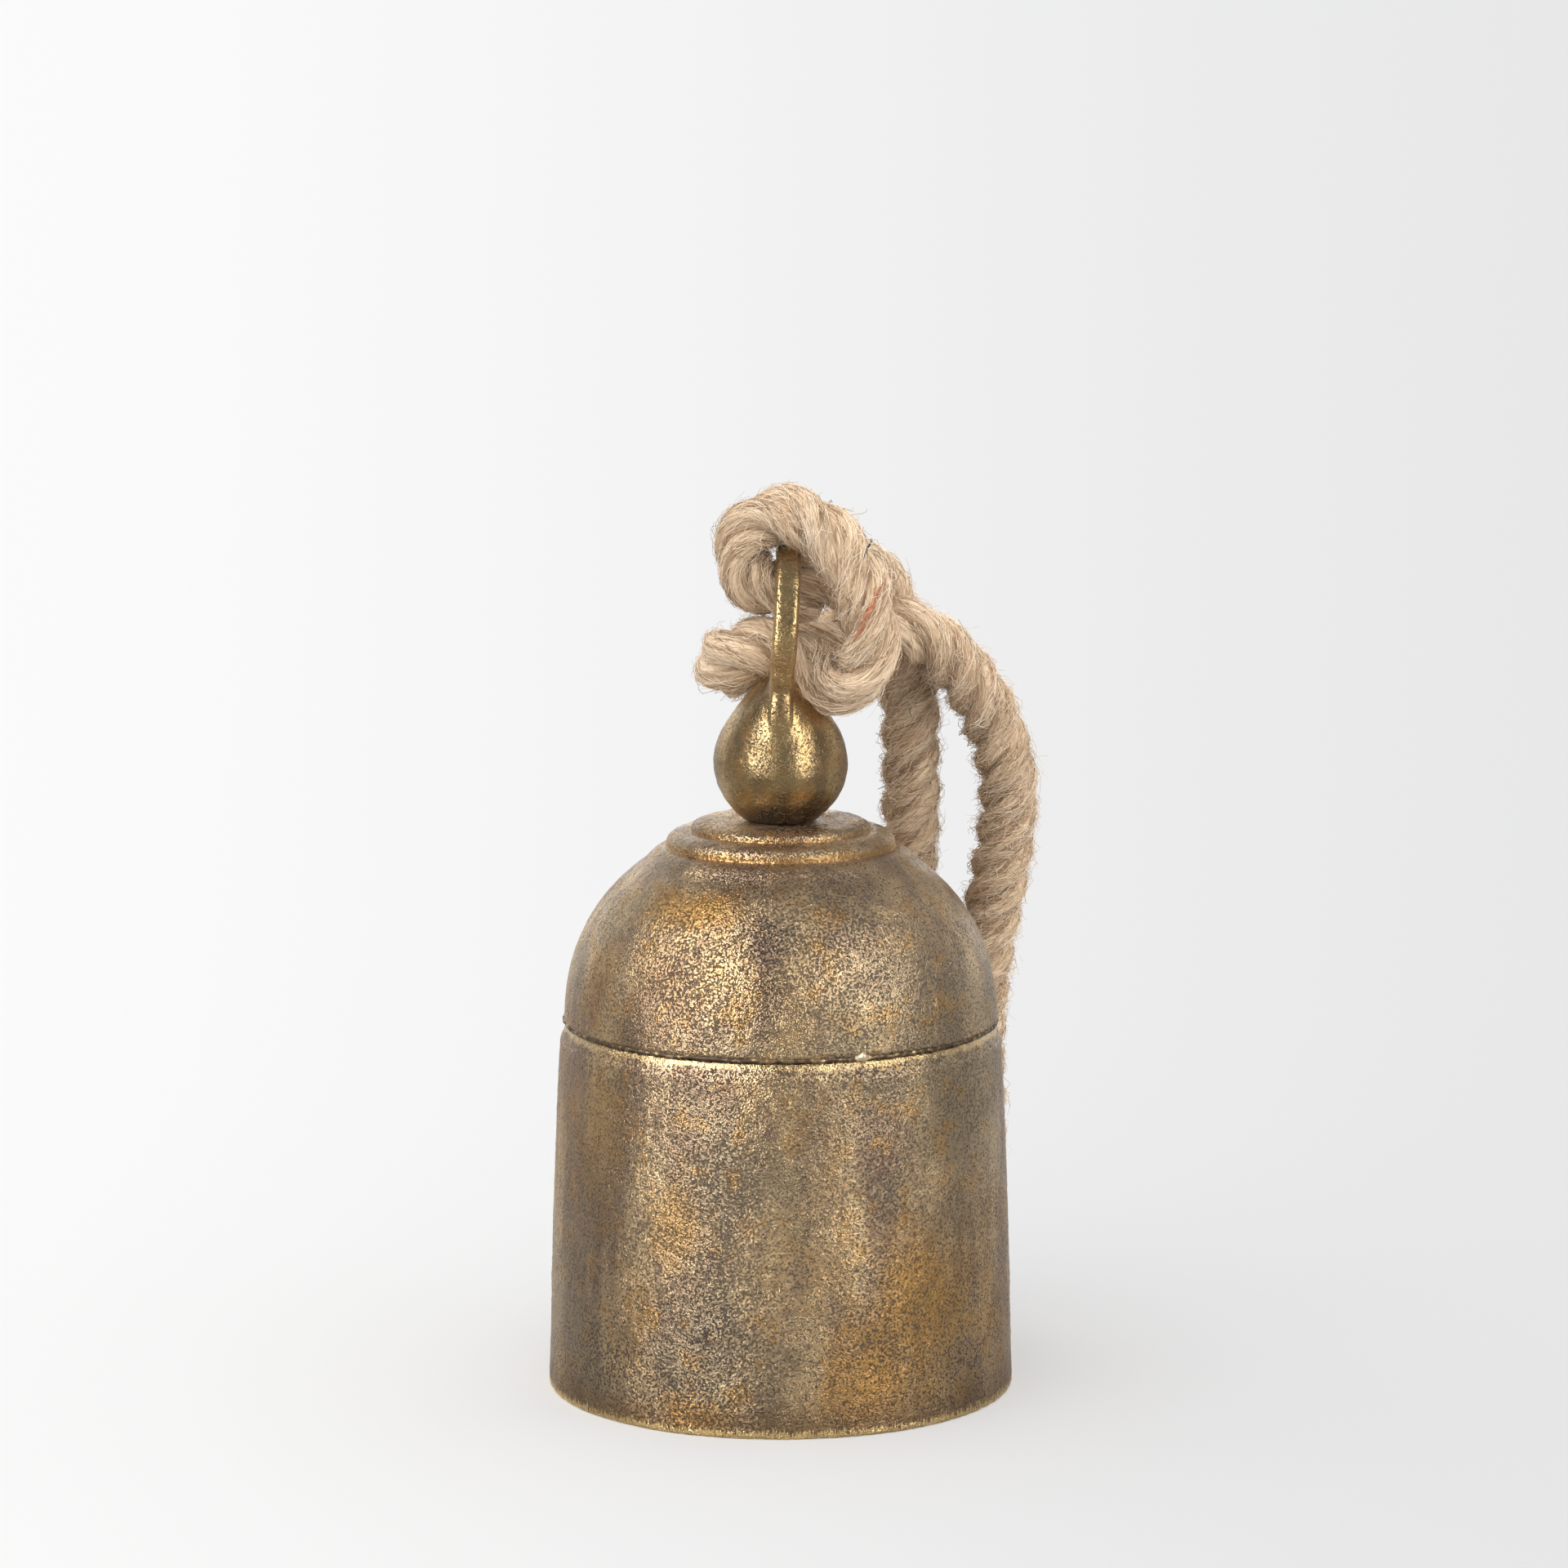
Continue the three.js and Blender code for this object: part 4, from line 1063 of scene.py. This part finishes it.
# small cast flaws that stand out of the wall: centre, half width, half height and height in mm
def raised(piece, flaws):
    for vertex in piece.data.vertices:
        for centre, wide, tall, rise in flaws:
            off = vertex.co / mm - Vector(centre)
            if abs(off.z) < tall * 3 and off.length < 8:
                amount = math.exp(-(off.x**2 + off.y**2) / wide**2 - off.z**2 / tall**2)
                vertex.co += Vector((vertex.co.x, vertex.co.y, 0)).normalized() * rise * mm * amount
    piece.data.update()


castingTree = castTree()
skirtPiece = castSkin(makeSkirt(skirt), castingTree, (1.6, 0.30), (4.0, 0.30), (22, 0.4), 1.7)
domePiece = castSkin(makeDome(dome), castingTree, (1.6, 0.28), (4.2, 0.28), (20, 0.5), 5.3)
finialPiece = castSkin(makeFinial(finial), castingTree, (1.4, 0.10), (3.0, 0.22), (12, 0.7), 2.9)
seamPiece = makeSeam(seam)
raised(domePiece, (((41.7, -40.4, 112), 0.9, 1.7, 0.55), ((42.6, -39.2, 109.5), 1.2, 0.8, 0.4)))
raised(skirtPiece, (((5, -61.4, 81), 0.8, 1.3, 0.4),))
for piece in (skirtPiece, domePiece, finialPiece, seamPiece):
    print(piece.name, len(piece.data.polygons), "faces")


# fixtures inside the bell keep their CAD shapes

steelFixtures = ("crown_stud", "crown_washer", "crown_nut", "hanger_lock_nut", "clapper_hanger",
                 "clapper_link",
                 "clapper_nut")
for finish, nodeNames in ((zincSteel, steelFixtures), (blackIron, ("clapper_rod", "clapper_ball"))):
    for nodeName in nodeNames:
        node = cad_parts[nodeName]
        node.data.materials.clear()
        node.data.materials.append(finish)


# floor, lights and background

light = dict(
    background=0.87, ambient=0.93, sunPower=0.55, sunSize=60.0,
    # name, way, strength and spread in degrees
    ropeSuns=(("rope_key", (0.5, 0.45, -1.0), 1.4, 35), ("rope_fill", (-0.85, 0.45, -0.3), 1.75, 60)),
    # name, azimuth, distance, height, size, watts and tilt
    boxes=(("left_softbox", -48, 1.4, 0.75, (0.44, 2.2), 38, 24),
           ("right_softbox", 47, 1.4, 0.75, (0.34, 2.2), 20, -10)),
    # brightness of the room as the metal shows it
    front=0.17, sides=0.33, back=1.45, above=0.12, floorSeen=(0.33, 0.56),
    floorSize=60.0, floorGlow=0.4)


def makeFloor(settings):
    material, tree, shader, place = newMaterial("pale_floor")
    # painted light: paler to the left, as if lit from that side, and dimmer where it shows in polished metal
    split = addNode(tree, "ShaderNodeSeparateXYZ", {0: place}).outputs
    far = doMath(tree, "MAXIMUM", doMath(tree, "ADD", split["Y"], 1.6), 0.8)
    across = grade(tree, doMath(tree, "DIVIDE", split["X"], far), -0.16, 0.16)
    shown = mixColour(tree, across, (0.905, 0.905, 0.905, 1), (0.757, 0.757, 0.762, 1))
    dimmer = 1 - settings["floorGlow"] / 1.065
    glossy = addNode(tree, "ShaderNodeLightPath").outputs["Is Glossy Ray"]
    seen = grade(tree, split["Y"], -0.30, 0.12, *settings["floorSeen"])
    base = mixColour(tree, glossy, scaledBy(tree, shown, dimmer), seen)
    plug(tree, shader.inputs["Base Color"], base)
    # part of the floor's brightness is its own, so the bell's shadow stays faint
    glow = product(tree, doMath(tree, "SUBTRACT", 1.0, glossy), settings["floorGlow"])
    plug(tree, shader.inputs["Emission Color"], shown)
    plug(tree, shader.inputs["Emission Strength"], glow)
    shader.inputs["Roughness"].default_value = 0.9
    shader.inputs["Specular IOR Level"].default_value = 0.0
    size = settings["floorSize"]
    corners = [(-size, -size, 0), (size, -size, 0), (size, size, 0), (-size, size, 0)]
    meshObject("floor", corners, [(0, 1, 2, 3)], material)


def makeBoxes(settings):
    for name, azimuth, distance, height, size, power, tilt in settings["boxes"]:
        data = bpy.data.lights.new(name, "AREA")
        data.shape = "RECTANGLE"
        data.size, data.size_y = size
        data.energy = power
        box = bpy.data.objects.new(name, data)
        bpy.context.collection.objects.link(box)
        a = math.radians(azimuth)
        box.location = (distance * math.sin(a), -distance * math.cos(a), height)
        aimed = (Vector((0, 0, 0.1)) - box.location).to_track_quat("-Z", "Y")
        box.rotation_euler = (aimed @ Quaternion((0, 0, 1), math.radians(tilt))).to_euler()
        box.visible_diffuse = False


def makeSun(name, way, power, spread):
    data = bpy.data.lights.new(name, "SUN")
    data.energy = power
    data.angle = math.radians(spread)
    sun = bpy.data.objects.new(name, data)
    bpy.context.collection.objects.link(sun)
    sun.rotation_euler = Vector(way).to_track_quat("-Z", "Y").to_euler()
    sun.visible_glossy = False
    return sun


def makeWorld(settings):
    world = bpy.data.worlds.new("studio")
    bpy.context.scene.world = world
    world.use_nodes = True
    tree = world.node_tree
    behind = tree.nodes["Background"]
    behind.inputs["Color"].default_value = (1, 1, 1, 1)
    ray = addNode(tree, "ShaderNodeLightPath").outputs
    way = addNode(tree, "ShaderNodeTexCoord").outputs["Generated"]
    way = addNode(tree, "ShaderNodeSeparateXYZ", {0: way}).outputs
    # a studio seen in the metal: pale sweep behind the bell, dim room to the sides, soft top light
    room = grade(tree, way["Y"], -0.75, -0.2, settings["front"], settings["sides"])
    lowered = doMath(tree, "SUBTRACT", way["Y"], grade(tree, way["Z"], 0.3, 0.8, 0.0, 0.45))
    sweep = grade(tree, lowered, 0.2, 0.7, 0.0, settings["back"])
    aside = grade(tree, doMath(tree, "ABSOLUTE", way["X"]), 0.25, 0.6)
    aside = product(tree, aside, grade(tree, way["Z"], 0.1, 0.45))
    sweep = product(tree, sweep, doMath(tree, "MULTIPLY_ADD", aside, -0.65, 1.0))
    room = doMath(tree, "MAXIMUM", room, sweep)
    room = doMath(tree, "MAXIMUM", room, grade(tree, way["Z"], 0.55, 0.95, 0.0, settings["above"]))
    inMetal = {0: ray["Is Glossy Ray"], 2: settings["ambient"], 3: room}
    strength = addNode(tree, "ShaderNodeMix", inMetal).outputs[0]
    inView = {0: ray["Is Camera Ray"], 2: strength, 3: settings["background"]}
    strength = addNode(tree, "ShaderNodeMix", inView).outputs[0]
    tree.links.new(strength, behind.inputs["Strength"])
    bpy.context.scene.view_settings.view_transform = "Standard"


def makeLights(settings):
    makeBoxes(settings)
    makeSun("key", (0.35, 0.75, -1.0), settings["sunPower"], settings["sunSize"])
    # more light on the rope alone, from the upper left and from the right
    lit = bpy.data.collections.new("rope_lit")
    for piece in (ropePiece, whippingPiece, *coats):
        lit.objects.link(piece)
    for ropeSun in settings["ropeSuns"]:
        makeSun(*ropeSun).light_linking.receiver_collection = lit
    makeWorld(settings)


makeFloor(light)
makeLights(light)
print("floor, lights and background set")


# which body each piece moves with, and which plain solids it stands for

for piece, stands, finishSlot in (
        (skirtPiece, ["bell_skirt"], "cast_brass"), (domePiece, ["bell_dome"], "cast_brass"),
        (seamPiece, ["seam_braze"], "seam_braze"), (finialPiece, ["crown_finial"], "finial_brass"),
        (ropePiece, ["rope_leg_left", "rope_knot", "rope_leg_right"], "jute_rope"),
        (whippingPiece, ["rope_whipping"], "dark_twine")):
    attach(piece, "bell")
    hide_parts(*stands)
for coat in coats:
    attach(coat, "bell")
